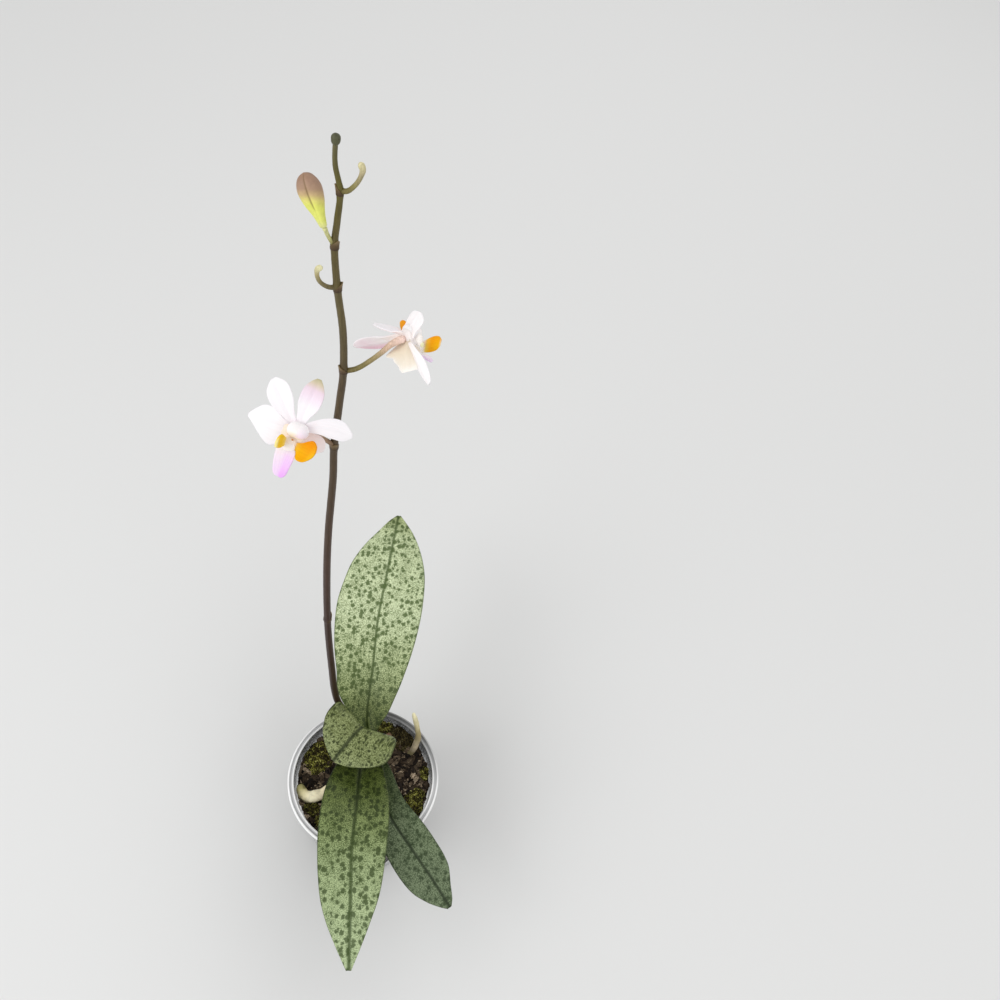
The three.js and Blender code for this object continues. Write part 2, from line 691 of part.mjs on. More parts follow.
const blooms = {
  bloom_lower: {
    centre: v(-29.8, 8.6, 380.6),
    front: v(0, -0.78, 0.63),
    top: v(0.24, 0.766, 0.597),
    tepals: [
      { angle: 0, length: 19.4, shape: 'sepal', lift: 0.05, bend: -0.012, twist: 0.1, bow: 0.4 },
      { angle: -49, length: 19.9, shape: 'petal', lift: 0.11, bend: -0.012, twist: -0.1, bow: 0 },
      { angle: 73, length: 19.7, shape: 'slim', lift: 0.08, bend: -0.01, twist: 0.2, bow: -2.4 },
      { angle: -98.7, length: 18.6, shape: 'broad', lift: 0.1, bend: -0.012, twist: 0, bow: 0 },
      { angle: 118, length: 11.5, shape: 'sepal', lift: -0.5, bend: -0.02, twist: 0, bow: 0 },
    ],
    lobes: [
      { hand: 1, run: v(8.4, -0.2, 2.9), shape: 'open' },
      { hand: -1, run: v(-1.6, -0.6, 8.5), shape: 'folded' },
    ],
    tongueTip: v(1.8, -17.2, 6.6),
  },
  bloom_upper: {
    centre: v(6.1, 24.3, 421.8),
    front: v(0.672, 0.725, -0.145),
    top: v(-0.046, 0.236, 0.969),
    tepals: [
      { angle: 3.9, length: 7.2, shape: 'round', lift: 0.62, bend: 0.02, twist: 0.1, bow: 0 },
      { angle: 88.4, length: 12, shape: 'petal', lift: -0.16, bend: -0.01, twist: 1.25, bow: 0 },
      { angle: 119.1, length: 19.5, shape: 'sepal', lift: -0.36, bend: -0.004, twist: 0.9, bow: 0 },
      { angle: -148.6, length: 10.9, shape: 'ruffled', lift: -0.16, bend: -0.006, twist: 0.8, bow: 0 },
      { angle: -124.5, length: 17.9, shape: 'petal', lift: 0.03, bend: -0.004, twist: -0.82, bow: 0 },
    ],
    lobes: [
      { hand: 1, run: v(8.1, 3.6, 1.4), shape: 'folded' },
      { hand: -1, run: v(-6.9, 3.8, 5.4), shape: 'round' },
    ],
    tongueTip: v(-1.4, -11.2, 9.3),
  },
};

function tepalBody({ angle, length, shape, lift, bend, twist, bow }) {
  const turn = THREE.MathUtils.degToRad(angle);
  const outward = v(Math.sin(turn), Math.cos(turn), 0);
  const across = v(Math.cos(turn), -Math.sin(turn), 0);
  const { both, left = both, right = both } = tepalShapes[shape];
  return bladeBody({
    alongSteps: 8,
    acrossSteps: 4,
    pointAt: (t, s) => {
      const r = 0.6 + length * t;
      const reach = s * smoothAt(s < 0 ? left : right, t);
      const roll = twist * THREE.MathUtils.smoothstep(t, 0, 0.35);
      const cup = 0.09 * Math.abs(reach) * Math.abs(s);
      return outward.clone().multiplyScalar(r)
        .addScaledVector(across, reach * Math.cos(roll) + 4 * bow * t * (1 - t))
        .add(v(0, 0, lift * r + bend * r * r + reach * Math.sin(roll) + cup));
    },
    thicknessAt: (t, s) => THREE.MathUtils.lerp(tepalMidThickness, tepalEdgeThickness, Math.abs(s)),
  });
}

const columnBody = (grow) => eggBody(3.4 + grow, 2.5 + grow, 3.4 + grow, 7, 10)
  .rotateX(0.5)
  .translate(0.7, 1.2, 3.4);
const coreBody = (grow) => eggBody(2.3 + grow, 2.3 + grow, 1.6 + grow, 5, 10);
const lipRoot = v(0, -4.6, 3.6);
// The lip's short claw reaches back to the foot of the column.
const clawBody = () => eggBody(1.4, 2.3, 1.2, 5, 8).translate(0.2, -3, 3);
const tongueWidths = [[0, 1.9], [0.15, 2.5], [0.35, 3.1], [0.7, 2.9], [0.9, 2.1], [1, 1.2]];

// One side lobe of the lip: a rounded cupped flap that runs out beside the column.
function lobeBody({ hand, run, shape }) {
  const across = v(hand * 0.2, 0.97, 0);
  const { upper, lower } = lobeShapes[shape];
  return bladeBody({
    alongSteps: 7,
    acrossSteps: 4,
    pointAt: (t, s) => {
      const reach = s * smoothAt(s < 0 ? lower : upper, t);
      const cup = 0.06 * reach * reach;
      return lipRoot.clone().add(v(hand * 1.4, 0, 0))
        .addScaledVector(run, t)
        .addScaledVector(across, reach)
        .add(v(-hand * 0.5 * cup, 0, 0.8 * cup));
    },
    thicknessAt: () => lobeThickness,
  });
}

// The middle lobe of the lip: a narrow tongue with a blunt point.
function tongueBody(tip) {
  const root = lipRoot.clone().add(v(0, -2.4, 1));
  const run = tip.clone().sub(root);
  return bladeBody({
    alongSteps: 8,
    acrossSteps: 4,
    pointAt: (t, s) => {
      const reach = s * smoothAt(tongueWidths, t);
      return root.clone().addScaledVector(run, t)
        .add(v(reach, 0, 5.6 * t * (1 - t) * 0.5 + 0.12 * Math.abs(reach)));
    },
    thicknessAt: () => tongueThickness,
  });
}

function makeBlooms() {
  for (const [name, bloom] of Object.entries(blooms)) {
    const group = new THREE.Group();
    const front = bloom.front.clone().normalize();
    const top = bloom.top.clone().addScaledVector(front, -bloom.top.dot(front)).normalize();
    const right = top.clone().cross(front);
    group.quaternion.setFromRotationMatrix(new THREE.Matrix4().makeBasis(right, top, front));
    group.position.copy(bloom.centre);
    orchid.add(group);
    const tepals = join([coreBody(0), columnBody(0), ...bloom.tepals.map(tepalBody)]);
    addMesh(group, `${name}_tepals`, geometryOf(tepals), materials.tepal);
    const callus = eggBody(2.2, 1.5, 1.6, 5, 8).translate(...lipRoot.toArray());
    const keepClear = [coreBody(lipSeatGap), columnBody(lipSeatGap)];
    const lobes = cut(join([callus, clawBody(), ...bloom.lobes.map(lobeBody)]), keepClear);
    addMesh(group, `${name}_lip_lobes`, geometryOf(lobes), materials.lobe);
    const tongue = solidOf(tongueBody(bloom.tongueTip));
    addMesh(group, `${name}_lip_tongue`, geometryOf(tongue), materials.tongue);
  }
}

// Bud: an upright egg with three shallow seams where its sepals meet

function makeBud() {
  const foot = v(-18.2, 10.8, 473);
  const head = v(-24.4, 13.2, 488.9);
  const girth = [
    [0, 0.75], [0.18, 1.4], [0.32, 2.2], [0.46, 2.95], [0.62, 3.55], [0.74, 3.65], [0.87, 2.95],
    [0.95, 1.8], [1, 0],
  ];
  const bud = ringBody({
    radiusAt: (t, turn) => smoothAt(girth, t) * (1 - budSeam * Math.cos(3 * turn)),
    heightAt: (t) => budLength * t,
    rings: 11,
    sides: 12,
  });
  const lean = new THREE.Quaternion().setFromUnitVectors(v(0, 0, 1), head.clone().sub(foot).normalize());
  bud.applyQuaternion(lean).translate(foot.x, foot.y, foot.z);
  addMesh(orchid, 'bud', bud, materials.bud);
}

makePot();
makeBark();
makeMoss();
makeRoots();
addMesh(orchid, 'stem', stemBody(0), materials.stem);
makeLeaves();
makeSpike();
makeBlooms();
makeBud();

export default orchid;
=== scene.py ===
import json
import math

import bmesh
import bpy
import numpy as np
from mathutils import Matrix, Vector

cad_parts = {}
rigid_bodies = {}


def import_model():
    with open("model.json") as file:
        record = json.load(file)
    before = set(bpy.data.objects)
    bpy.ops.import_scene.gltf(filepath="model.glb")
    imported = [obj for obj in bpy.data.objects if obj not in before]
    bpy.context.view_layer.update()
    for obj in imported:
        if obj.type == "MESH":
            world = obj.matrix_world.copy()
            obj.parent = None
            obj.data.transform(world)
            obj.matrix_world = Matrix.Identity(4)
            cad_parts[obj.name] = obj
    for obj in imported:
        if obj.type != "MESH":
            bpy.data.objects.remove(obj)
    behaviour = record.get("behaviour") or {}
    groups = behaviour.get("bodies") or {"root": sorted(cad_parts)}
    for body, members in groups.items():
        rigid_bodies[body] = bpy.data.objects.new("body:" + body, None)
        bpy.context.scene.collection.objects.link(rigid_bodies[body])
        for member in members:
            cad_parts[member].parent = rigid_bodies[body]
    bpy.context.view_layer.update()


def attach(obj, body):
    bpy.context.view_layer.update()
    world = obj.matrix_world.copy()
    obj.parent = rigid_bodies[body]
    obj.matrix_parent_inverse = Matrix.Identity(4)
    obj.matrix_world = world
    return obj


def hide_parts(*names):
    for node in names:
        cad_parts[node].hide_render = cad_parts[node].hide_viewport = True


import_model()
scene = bpy.context.scene
scene.view_settings.view_transform = "Standard"
mm = 0.001

# Sizes below are millimetres in the solids' own frame. The origin is the middle of the pot's
# underside, +Z is up, and the front leaf points to -Y.


# Shapes

# A smooth value at t through (t, value) stops.
def smoothAt(stops, t):
    ts = np.array([stop[0] for stop in stops], float)
    ys = np.array([stop[1] for stop in stops], float)
    last = len(ts) - 1
    spot = np.arange(len(ts))
    before = np.maximum(spot - 1, 0)
    after = np.minimum(spot + 1, last)
    slope = (ys[after] - ys[before]) / (ts[after] - ts[before])
    i = np.clip(np.searchsorted(ts, t, side="left") - 1, 0, last - 1)
    span = ts[i + 1] - ts[i]
    u = np.clip((t - ts[i]) / span, 0, 1)
    h = u * u * (3 - 2 * u)
    rise = u * (1 - u) * ((1 - u) * slope[i] - u * slope[i + 1]) * span
    return ys[i] + (ys[i + 1] - ys[i]) * h + rise


# A screen colour, 0 to 255, as the linear shares that materials take
def srgb(r, g, b):
    shares = np.array([r, g, b], float) / 255
    return tuple(np.where(shares <= 0.04045, shares / 12.92, ((shares + 0.055) / 1.055) ** 2.4))


# Colours at t through (t, (r, g, b)) stops.
def colourAt(stops, t):
    ts = [stop[0] for stop in stops]
    channels = [[srgb(*stop[1])[k] for stop in stops] for k in range(3)]
    return np.stack([np.interp(t, ts, channel) for channel in channels], axis=-1)


# Places and directions at the shares t of a smooth path through the points, and its length
def pathAt(points, t):
    p = np.array(points, float)
    p = np.vstack([2 * p[0] - p[1], p, 2 * p[-1] - p[-2]])
    gap = np.linalg.norm(np.diff(p, axis=0), axis=1) ** 0.5
    stepsBetween = 80
    u = np.linspace(0, 1, stepsBetween, endpoint=False)[:, None]

    def slopeAt(a, b, c, gapBefore, gapAfter):
        return (b - a) / gapBefore - (c - a) / (gapBefore + gapAfter) + (c - b) / gapAfter

    rows = []
    for i in range(1, len(p) - 2):
        g0, g1, g2 = gap[i - 1:i + 2]
        leave = slopeAt(p[i - 1], p[i], p[i + 1], g0, g1) * g1
        arrive = slopeAt(p[i], p[i + 1], p[i + 2], g1, g2) * g1
        rows.append(
            p[i] * (2 * u ** 3 - 3 * u ** 2 + 1) + leave * (u ** 3 - 2 * u ** 2 + u)
            + p[i + 1] * (3 * u ** 2 - 2 * u ** 3) + arrive * (u ** 3 - u ** 2)
        )
    dense = np.vstack(rows + [p[-2][None]])
    length = np.concatenate([[0], np.cumsum(np.linalg.norm(np.diff(dense, axis=0), axis=1))])

    def placeAt(share):
        return np.stack([np.interp(share * length[-1], length, dense[:, k]) for k in range(3)], axis=-1)

    t = np.asarray(t, float)
    step = 1e-3
    way = placeAt(np.minimum(t + step, 1)) - placeAt(np.maximum(t - step, 0))
    return placeAt(t), way / np.linalg.norm(way, axis=-1, keepdims=True), length[-1]


# Smooth uneven relief from a few waves, the same on every run.
def relief(seed, *where):
    rng = np.random.default_rng(seed)
    waveCount = 7
    total = 0
    for _ in range(waveCount):
        waves = rng.normal(size=len(where))
        total = total + np.sin(sum(w * x for w, x in zip(waves, where)) + rng.uniform(0, 6.28))
    return total / waveCount


# Linear colours moved towards another by a share at each point
def towards(colours, other, share):
    return colours * (1 - share[..., None]) + np.array(other) * share[..., None]


# How far a blade reaches to its side at (t, s), from the widths of its two halves
def reachAt(left, right, t, s):
    return s * np.where(s < 0, smoothAt(left, t), smoothAt(right, t))


# The faces, flipped where they point inwards
def turnedOut(points, faces):
    corners = [points[[face[k] for face in faces]] for k in (0, 1, 2)]
    whole = np.einsum("ij,ij->i", corners[0], np.cross(corners[1], corners[2])).sum()
    return faces if whole > 0 else [face[::-1] for face in faces]


bladeMargin = {"from": 0.93, "width": 0.07}  # the outer part of s in which a blade's edge is rounded


# A closed blade around its middle surface pointAt(t, s), with s from -1 to 1 across. thickAt gives
# what stands above and below it. Its faces are smaller at the ends, the middle and the margins.
def bladeBody(pointAt, thickAt, along, across, tintAt=None):
    even = np.linspace(0, 1, along + 1)
    t = 0.65 * even + 0.35 * (1 - np.cos(math.pi * even)) / 2
    x = np.linspace(-1, 1, across + 1)
    s = np.sign(x) * np.sin(math.pi / 2 * np.abs(x) ** 1.25)
    t, s = np.meshgrid(t, s, indexing="ij")
    middle = pointAt(t, s)
    normal = np.cross(np.gradient(middle, axis=1), np.gradient(middle, axis=0))
    normal /= np.linalg.norm(normal, axis=-1, keepdims=True) + 1e-12
    above, below = thickAt(t, s)
    inMargin = np.clip(np.abs(s) - bladeMargin["from"], 0, 1) / bladeMargin["width"]
    roundOff = np.sqrt(np.clip(1 - inMargin ** 2, 0, 1))
    upper = middle + normal * (above * roundOff)[..., None]
    lower = middle - normal * (below * roundOff)[..., None]
    rows, columns = t.shape
    count = rows * columns
    points = np.vstack([upper.reshape(-1, 3), lower[:, 1:-1].reshape(-1, 3)])
    top = np.arange(count).reshape(rows, columns)
    bottom = top.copy()
    bottom[:, 1:-1] = count + np.arange(rows * (columns - 2)).reshape(rows, columns - 2)
    faces = []
    for i in range(rows - 1):
        for j in range(columns - 1):
            faces.append([top[i, j], top[i, j + 1], top[i + 1, j + 1], top[i + 1, j]])
            faces.append([bottom[i, j], bottom[i + 1, j], bottom[i + 1, j + 1], bottom[i, j + 1]])
    for i, flip in ((0, 1), (rows - 1, -1)):
        for j in range(columns - 1):
            ring = [top[i, j], bottom[i, j], bottom[i, j + 1], top[i, j + 1]][::flip]
            faces.append(list(dict.fromkeys(int(k) for k in ring)))
    spread = np.linalg.norm(np.diff(middle, axis=1), axis=-1)
    side = np.concatenate([np.zeros((rows, 1)), np.cumsum(spread, axis=1)], axis=1)
    centre = side[:, columns // 2][:, None]
    run = np.linalg.norm(np.diff(middle[:, columns // 2], axis=0), axis=-1)
    far = np.broadcast_to(np.concatenate([[0], np.cumsum(run)])[:, None], t.shape)
    sheetTop = np.stack([side - centre, far, np.zeros_like(t)], axis=-1)
    share = np.stack([s, t, np.zeros_like(t)], axis=-1)

    def both(values, under=None):
        low = values[:, 1:-1].copy()
        if under is not None:
            low[..., 2] = under
        return np.vstack([values.reshape(-1, 3), low.reshape(-1, 3)])

    tint = tintAt(t, s) if tintAt else np.ones(t.shape + (3,))
    if isinstance(tint, tuple):
        tint = np.vstack([tint[0].reshape(-1, 3), tint[1][:, 1:-1].reshape(-1, 3)])
    else:
        tint = both(tint)
    values = {"sheet": both(sheetTop, 1), "share": both(share), "tint": tint}
    faces = [[int(k) for k in face] for face in faces]
    return {"points": points, "faces": turnedOut(points, faces), "values": values}


# The same thickness above and below a blade's middle everywhere
def evenThickness(half):
    return lambda t, s: (half + 0 * t, half + 0 * t)


# A closed body of rings round the z axis: radiusAt and heightAt take t from 0 at its foot to 1.
def ringBody(radiusAt, heightAt, rings, sides, tintAt=None):
    t, turn = np.meshgrid(
        np.arange(1, rings) / rings, 2 * math.pi * np.arange(sides) / sides, indexing="ij",
    )
    radius = radiusAt(t, turn)
    points = np.stack([radius * np.cos(turn), radius * np.sin(turn), heightAt(t, turn)], axis=-1)
    ends = [[0, 0, float(heightAt(np.array(k), np.array(0.0)))] for k in (0.0, 1.0)]
    points = np.vstack([points.reshape(-1, 3), ends])
    faces = []
    for i in range(rings - 2):
        for k in range(sides):
            a, b = i * sides + k, i * sides + (k + 1) % sides
            faces.append([a, b, b + sides, a + sides])
    low = (rings - 1) * sides
    last = (rings - 2) * sides
    for k in range(sides):
        faces.append([low, (k + 1) % sides, k])
        faces.append([low + 1, last + k, last + (k + 1) % sides])
    flat = np.concatenate([t.ravel(), [0, 1]])
    around = np.concatenate([turn.ravel(), [0, 0]])
    tint = tintAt(flat, around) if tintAt else np.ones((len(flat), 3))
    share = np.stack([around, flat, 0 * flat], axis=-1)
    values = {"sheet": points.copy(), "share": share, "tint": tint}
    return {"points": points, "faces": turnedOut(points, faces), "values": values}


def placed(body, matrix=None, offset=(0, 0, 0)):
    points = body["points"] if matrix is None else body["points"] @ np.array(matrix, float).T
    return {**body, "points": points + np.array(offset, float)}


def turnX(angle):
    c, s = math.cos(angle), math.sin(angle)
    return [[1, 0, 0], [0, c, -s], [0, s, c]]


# Pieces

def fillMesh(name, bodies, finishes):
    mesh = bpy.data.meshes.new(name)
    points, faces = [], []
    for body in bodies:
        start = sum(len(part) for part in points)
        points.append(body["points"] * mm)
        faces += [[k + start for k in face] for face in body["faces"]]
    mesh.from_pydata(np.vstack(points).tolist(), [], faces)
    for finish in finishes:
        mesh.materials.append(finish)
    mesh.polygons.foreach_set("use_smooth", np.ones(len(faces), bool))
    for key in ("sheet", "share", "tint"):
        values = np.vstack([body["values"][key] for body in bodies])
        layer = mesh.attributes.new(key, "FLOAT_VECTOR", "POINT")
        layer.data.foreach_set("vector", values.astype(np.float32).ravel())
    mesh.validate()
    mesh.update()
    return mesh


def finishPiece(piece, slotName, *nodes):
    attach(piece, "root")
    if nodes:
        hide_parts(*nodes)
    return piece


def addPiece(name, bodies, finishes, slotName, *nodes):
    piece = bpy.data.objects.new(name, fillMesh(name, bodies, finishes))
    scene.collection.objects.link(piece)
    return finishPiece(piece, slotName, *nodes)


# Node trees

def setInputs(tree, node, inputs):
    for key, value in inputs.items():
        if isinstance(value, bpy.types.NodeSocket):
            tree.links.new(value, node.inputs[key])
        else:
            node.inputs[key].default_value = value


def addNode(tree, kind, inputs=None, **settings):
    node = tree.nodes.new(kind)
    for key, value in settings.items():
        setattr(node, key, value)
    setInputs(tree, node, inputs or {})
    return node


def newFinish(name):
    finish = bpy.data.materials.new(name)
    finish.use_nodes = True
    return finish, finish.node_tree, finish.node_tree.nodes["Principled BSDF"]


def attributeOf(tree, name, output="Vector"):
    return addNode(tree, "ShaderNodeAttribute", attribute_name=name).outputs[output]


def partsOf(tree, vector):
    return addNode(tree, "ShaderNodeSeparateXYZ", {0: vector}).outputs


def maths(tree, operation, a, b=0.0, c=0.0, clamp=False):
    given = {0: a, 1: b, 2: c}
    return addNode(tree, "ShaderNodeMath", given, operation=operation, use_clamp=clamp).outputs[0]


# A base value moved up and down by a noise, whose middle is 0.5
def swayed(tree, base, noise, amount, clamp=False):
    return maths(tree, "MULTIPLY_ADD", maths(tree, "SUBTRACT", noise, 0.5), amount, base, clamp=clamp)


def mixedValue(tree, factor, a, b):
    return addNode(tree, "ShaderNodeMix", {0: factor, 2: a, 3: b}, data_type="FLOAT").outputs[0]


def vectorMaths(tree, operation, a, b):
    return addNode(tree, "ShaderNodeVectorMath", {0: a, 1: b}, operation=operation).outputs[0]


def ranged(tree, value, low, high, toLow=0.0, toHigh=1.0, smooth=True):
    node = addNode(
        tree, "ShaderNodeMapRange",
        {"Value": value, "From Min": low, "From Max": high, "To Min": toLow, "To Max": toHigh},
        interpolation_type="SMOOTHSTEP" if smooth else "LINEAR",
    )
    return node.outputs[0]


def noiseOf(tree, vector, scale, detail, roughness):
    return addNode(
        tree, "ShaderNodeTexNoise",
        {"Vector": vector, "Scale": scale, "Detail": detail, "Roughness": roughness},
    ).outputs["Fac"]


def mixed(tree, factor, a, b, blend="MIX"):
    node = addNode(tree, "ShaderNodeMix", data_type="RGBA", blend_type=blend)
    for key, value in (("Factor_Float", factor), ("A_Color", a), ("B_Color", b)):
        socket = next(s for s in node.inputs if s.identifier == key)
        if isinstance(value, bpy.types.NodeSocket):
            tree.links.new(value, socket)
        elif key == "Factor_Float":
            socket.default_value = value
        else:
            socket.default_value = (*value, 1)
    return next(s for s in node.outputs if s.identifier == "Result_Color")


def rampOf(tree, value, stops):
    node = addNode(tree, "ShaderNodeValToRGB", {"Fac": value})
    elements = node.color_ramp.elements
    while len(elements) > 1:
        elements.remove(elements[-1])
    elements[0].position = stops[0][0]
    elements[0].color = (*stops[0][1], 1)
    for position, colour in stops[1:]:
        elements.new(position).color = (*colour, 1)
    return node.outputs["Color"]


def colourRamp(tree, value, stops):
    return rampOf(tree, value, [(t, srgb(*rgb)) for t, rgb in stops])


def greyRamp(tree, value, stops):
    return rampOf(tree, value, [(t, (a, a, a)) for t, a in stops])


def bumpInto(tree, shader, height, strength, distance):
    bump = addNode(tree, "ShaderNodeBump", {"Height": height, "Strength": strength, "Distance": distance})
    tree.links.new(bump.outputs["Normal"], shader.inputs["Normal"])


def stretched(tree, vector, factors):
    return vectorMaths(tree, "MULTIPLY", vector, factors)


# The point on the object in millimetres
def objectPoint(tree):
    point = addNode(tree, "ShaderNodeTexCoord").outputs["Object"]
    return stretched(tree, point, (1000, 1000, 1000))


# Camera, light and floor

# The camera's place, and the directions of its own axes
view = {
    "place": (47.0, -224.9, 661.4),
    "right": (0.9826, 0.1465, 0.114),
    "up": (-0.1857, 0.7755, 0.6034),
    "back": (0.0, -0.6141, 0.7892),
    "focalPixels": 989.49,
    "middlePixel": 495.5,
    "picturePixels": 1000,
    "sensorWidth": 36,
}


def makeCamera():
    data = bpy.data.cameras.new("camera")
    data.sensor_width = view["sensorWidth"]
    data.lens = view["focalPixels"] / view["picturePixels"] * data.sensor_width
    data.shift_x = 0.5 - view["middlePixel"] / view["picturePixels"]
    data.clip_start = 0.01
    camera = bpy.data.objects.new("camera", data)
    turn = Matrix((view["right"], view["up"], view["back"])).transposed()
    camera.matrix_world = Matrix.Translation(Vector(view["place"]) * mm) @ turn.to_4x4()
    scene.collection.objects.link(camera)
    scene.camera = camera


# Lamps and floor in metres. All lamps point at "aim".
stage = {
    "lamps": {
        "keyLight": {"place": (-1.0, -0.9, 1.2), "size": 1.1, "energy": 11},
        "fillLight": {"place": (1.1, -0.9, 1.2), "size": 1.4, "energy": 5},
        "backLight": {"place": (0.3, 1.3, 1.3), "size": 1.2, "energy": 4},
    },
    "aim": (0, 0, 0.15), "sky": (1, 0.99, 0.98), "skyStrength": 0.72,
    "floor": (222, 223, 223), "floorRoughness": 0.75, "floorHalf": 4.0,
}


def makeLamp(name, place, size, energy):
    data = bpy.data.lights.new(name, "AREA")
    data.size = size
    data.energy = energy
    lamp = bpy.data.objects.new(name, data)
    lamp.location = place
    lamp.rotation_euler = (Vector(stage["aim"]) - Vector(place)).to_track_quat("-Z", "Y").to_euler()
    scene.collection.objects.link(lamp)


def makeStage():
    for name, lamp in stage["lamps"].items():
        makeLamp(name, **lamp)
    world = bpy.data.worlds.new("studio")
    world.use_nodes = True
    sky = world.node_tree.nodes["Background"]
    setInputs(world.node_tree, sky, {"Color": (*stage["sky"], 1), "Strength": stage["skyStrength"]})
    scene.world = world
    mesh = bpy.data.meshes.new("floor")
    half = stage["floorHalf"]
    corners = [(-half, -half, 0), (half, -half, 0), (half, half, 0), (-half, half, 0)]
    mesh.from_pydata(corners, [], [(0, 1, 2, 3)])
    floor = bpy.data.objects.new("floor", mesh)
    finish, tree, shader = newFinish("paleFloor")
    setInputs(tree, shader, {
        "Base Color": (*srgb(*stage["floor"]), 1), "Roughness": stage["floorRoughness"],
    })
    mesh.materials.append(finish)
    scene.collection.objects.link(floor)


makeCamera()
makeStage()
print("camera, light and floor made")


# Leaves

# The spine runs along the midrib, and the widths to its left and right are given along it. "fold" is
# how steeply the two halves rise from the rib.
leafShapes = {
    "leaf_back": {
        "spine": [(-2.6, 24, 87.5), (-6, 34.2, 93), (-8, 56.7, 106), (-11.5, 87.3, 117),
                  (-12.4, 113.4, 124), (-14.5, 162.3, 127)],
        "side": (1, 0, 0),
        "left": [(0, 4.2), (0.05, 5), (0.1, 11.6), (0.17, 19), (0.26, 22), (0.35, 24.6), (0.45, 26.2),
                 (0.54, 27), (0.63, 25.9), (0.72, 23.4), (0.82, 17.4), (0.91, 10.3), (0.97, 5.3), (1, 1.3)],
        "right": [(0, 4.4), (0.08, 12), (0.17, 16.2), (0.26, 20), (0.35, 23.4), (0.45, 25.8), (0.54, 26.5),
                  (0.63, 25.7), (0.72, 23.7), (0.82, 19.1), (0.91, 12.3), (0.97, 5.4), (1, 1.3)],
        "fold": [(0, 0.75), (0.15, 0.3), (0.5, 0.12), (1, 0.1)],
        "tilt": 0,
        "wave": 0.8,
    },
    "leaf_front": {
        "spine": [(-2.1, 12, 88), (-2.7, 6.4, 93), (2, -29.4, 101), (4.1, -47.4, 102), (9.4, -72.2, 98.5),
                  (16.8, -107.7, 88)],
        "side": (-1, 0, 0),
        "left": [(0, 4.4), (0.05, 9.2), (0.14, 14.1), (0.24, 17.4), (0.33, 18.8), (0.43, 19.5),
                 (0.52, 19.2), (0.62, 17.8), (0.72, 15.2), (0.81, 11.2), (0.905, 6.5), (0.97, 3), (1, 1.2)],
        "right": [(0, 4.4), (0.05, 9.6), (0.14, 14.8), (0.24, 18.5), (0.33, 19.9), (0.43, 19.7),
                  (0.52, 18.8), (0.62, 17.9), (0.72, 16.3), (0.81, 12.9), (0.905, 7.5), (0.97, 3.3),
                  (1, 1.2)],
        "fold": [(0, 0.75), (0.12, 0.3), (0.5, 0.12), (1, 0.14)],
        "tilt": 0,
        "wave": 0.6,
    },
    "leaf_front_right": {
        "spine": [(3, 12.5, 81.6), (8, 3, 86.2), (20, -22.3, 90.5), (37.4, -39.3, 87), (51.4, -50.6, 79.6),
                  (64.5, -61.5, 70)],
        "side": (-0.75, -0.66, 0),
        "left": [(0, 4), (0.12, 7.4), (0.3, 10.4), (0.5, 13.6), (0.65, 14), (0.8, 12.2), (0.9, 7.3),
                 (0.97, 4), (1, 1.3)],
        "right": [(0, 4), (0.12, 7.4), (0.3, 9.8), (0.5, 13), (0.65, 14.7), (0.8, 13.6), (0.9, 9.2),
                  (0.97, 4.2), (1, 1.3)],
        "fold": [(0, 0.7), (0.15, 0.3), (0.5, 0.14), (1, 0.1)],
        "tilt": 0,
        "wave": 0.5,
    },
    "leaf_young": {
        "spine": [(-3.1, 16.8, 92.3), (-3, 16.6, 104), (-5.4, 15, 115.1), (-11, 5.9, 113.8),
                  (-17, -4.7, 109.2)],
        "side": (-0.916, 0.398, 0.045),
        "left": [(0, 3.6), (0.2, 8.5), (0.38, 14), (0.5, 24.8), (0.62, 25.8), (0.76, 21.5), (0.87, 14.8),
                 (0.95, 8.5), (1, 1.4)],
        "right": [(0, 3.4), (0.2, 6.1), (0.36, 11.5), (0.48, 20.1), (0.58, 20.6), (0.7, 18.9), (0.82, 14.9),
                  (0.93, 8), (1, 1.4)],
        "fold": [(0, 0.6), (0.3, 0.34), (1, 0.23)],
        "tilt": 0.03,
        "wave": 0.3,
    },
}

leafBuild = {
    "midThickness": 1.7, "edgeThickness": 0.8, "grooveDepth": 0.45, "grooveWidth": 0.9, "keelHeight": 0.25,
    "ripples": 2.6, "crown": 0.05, "unevenness": 0.25, "along": 150, "across": 40,
}

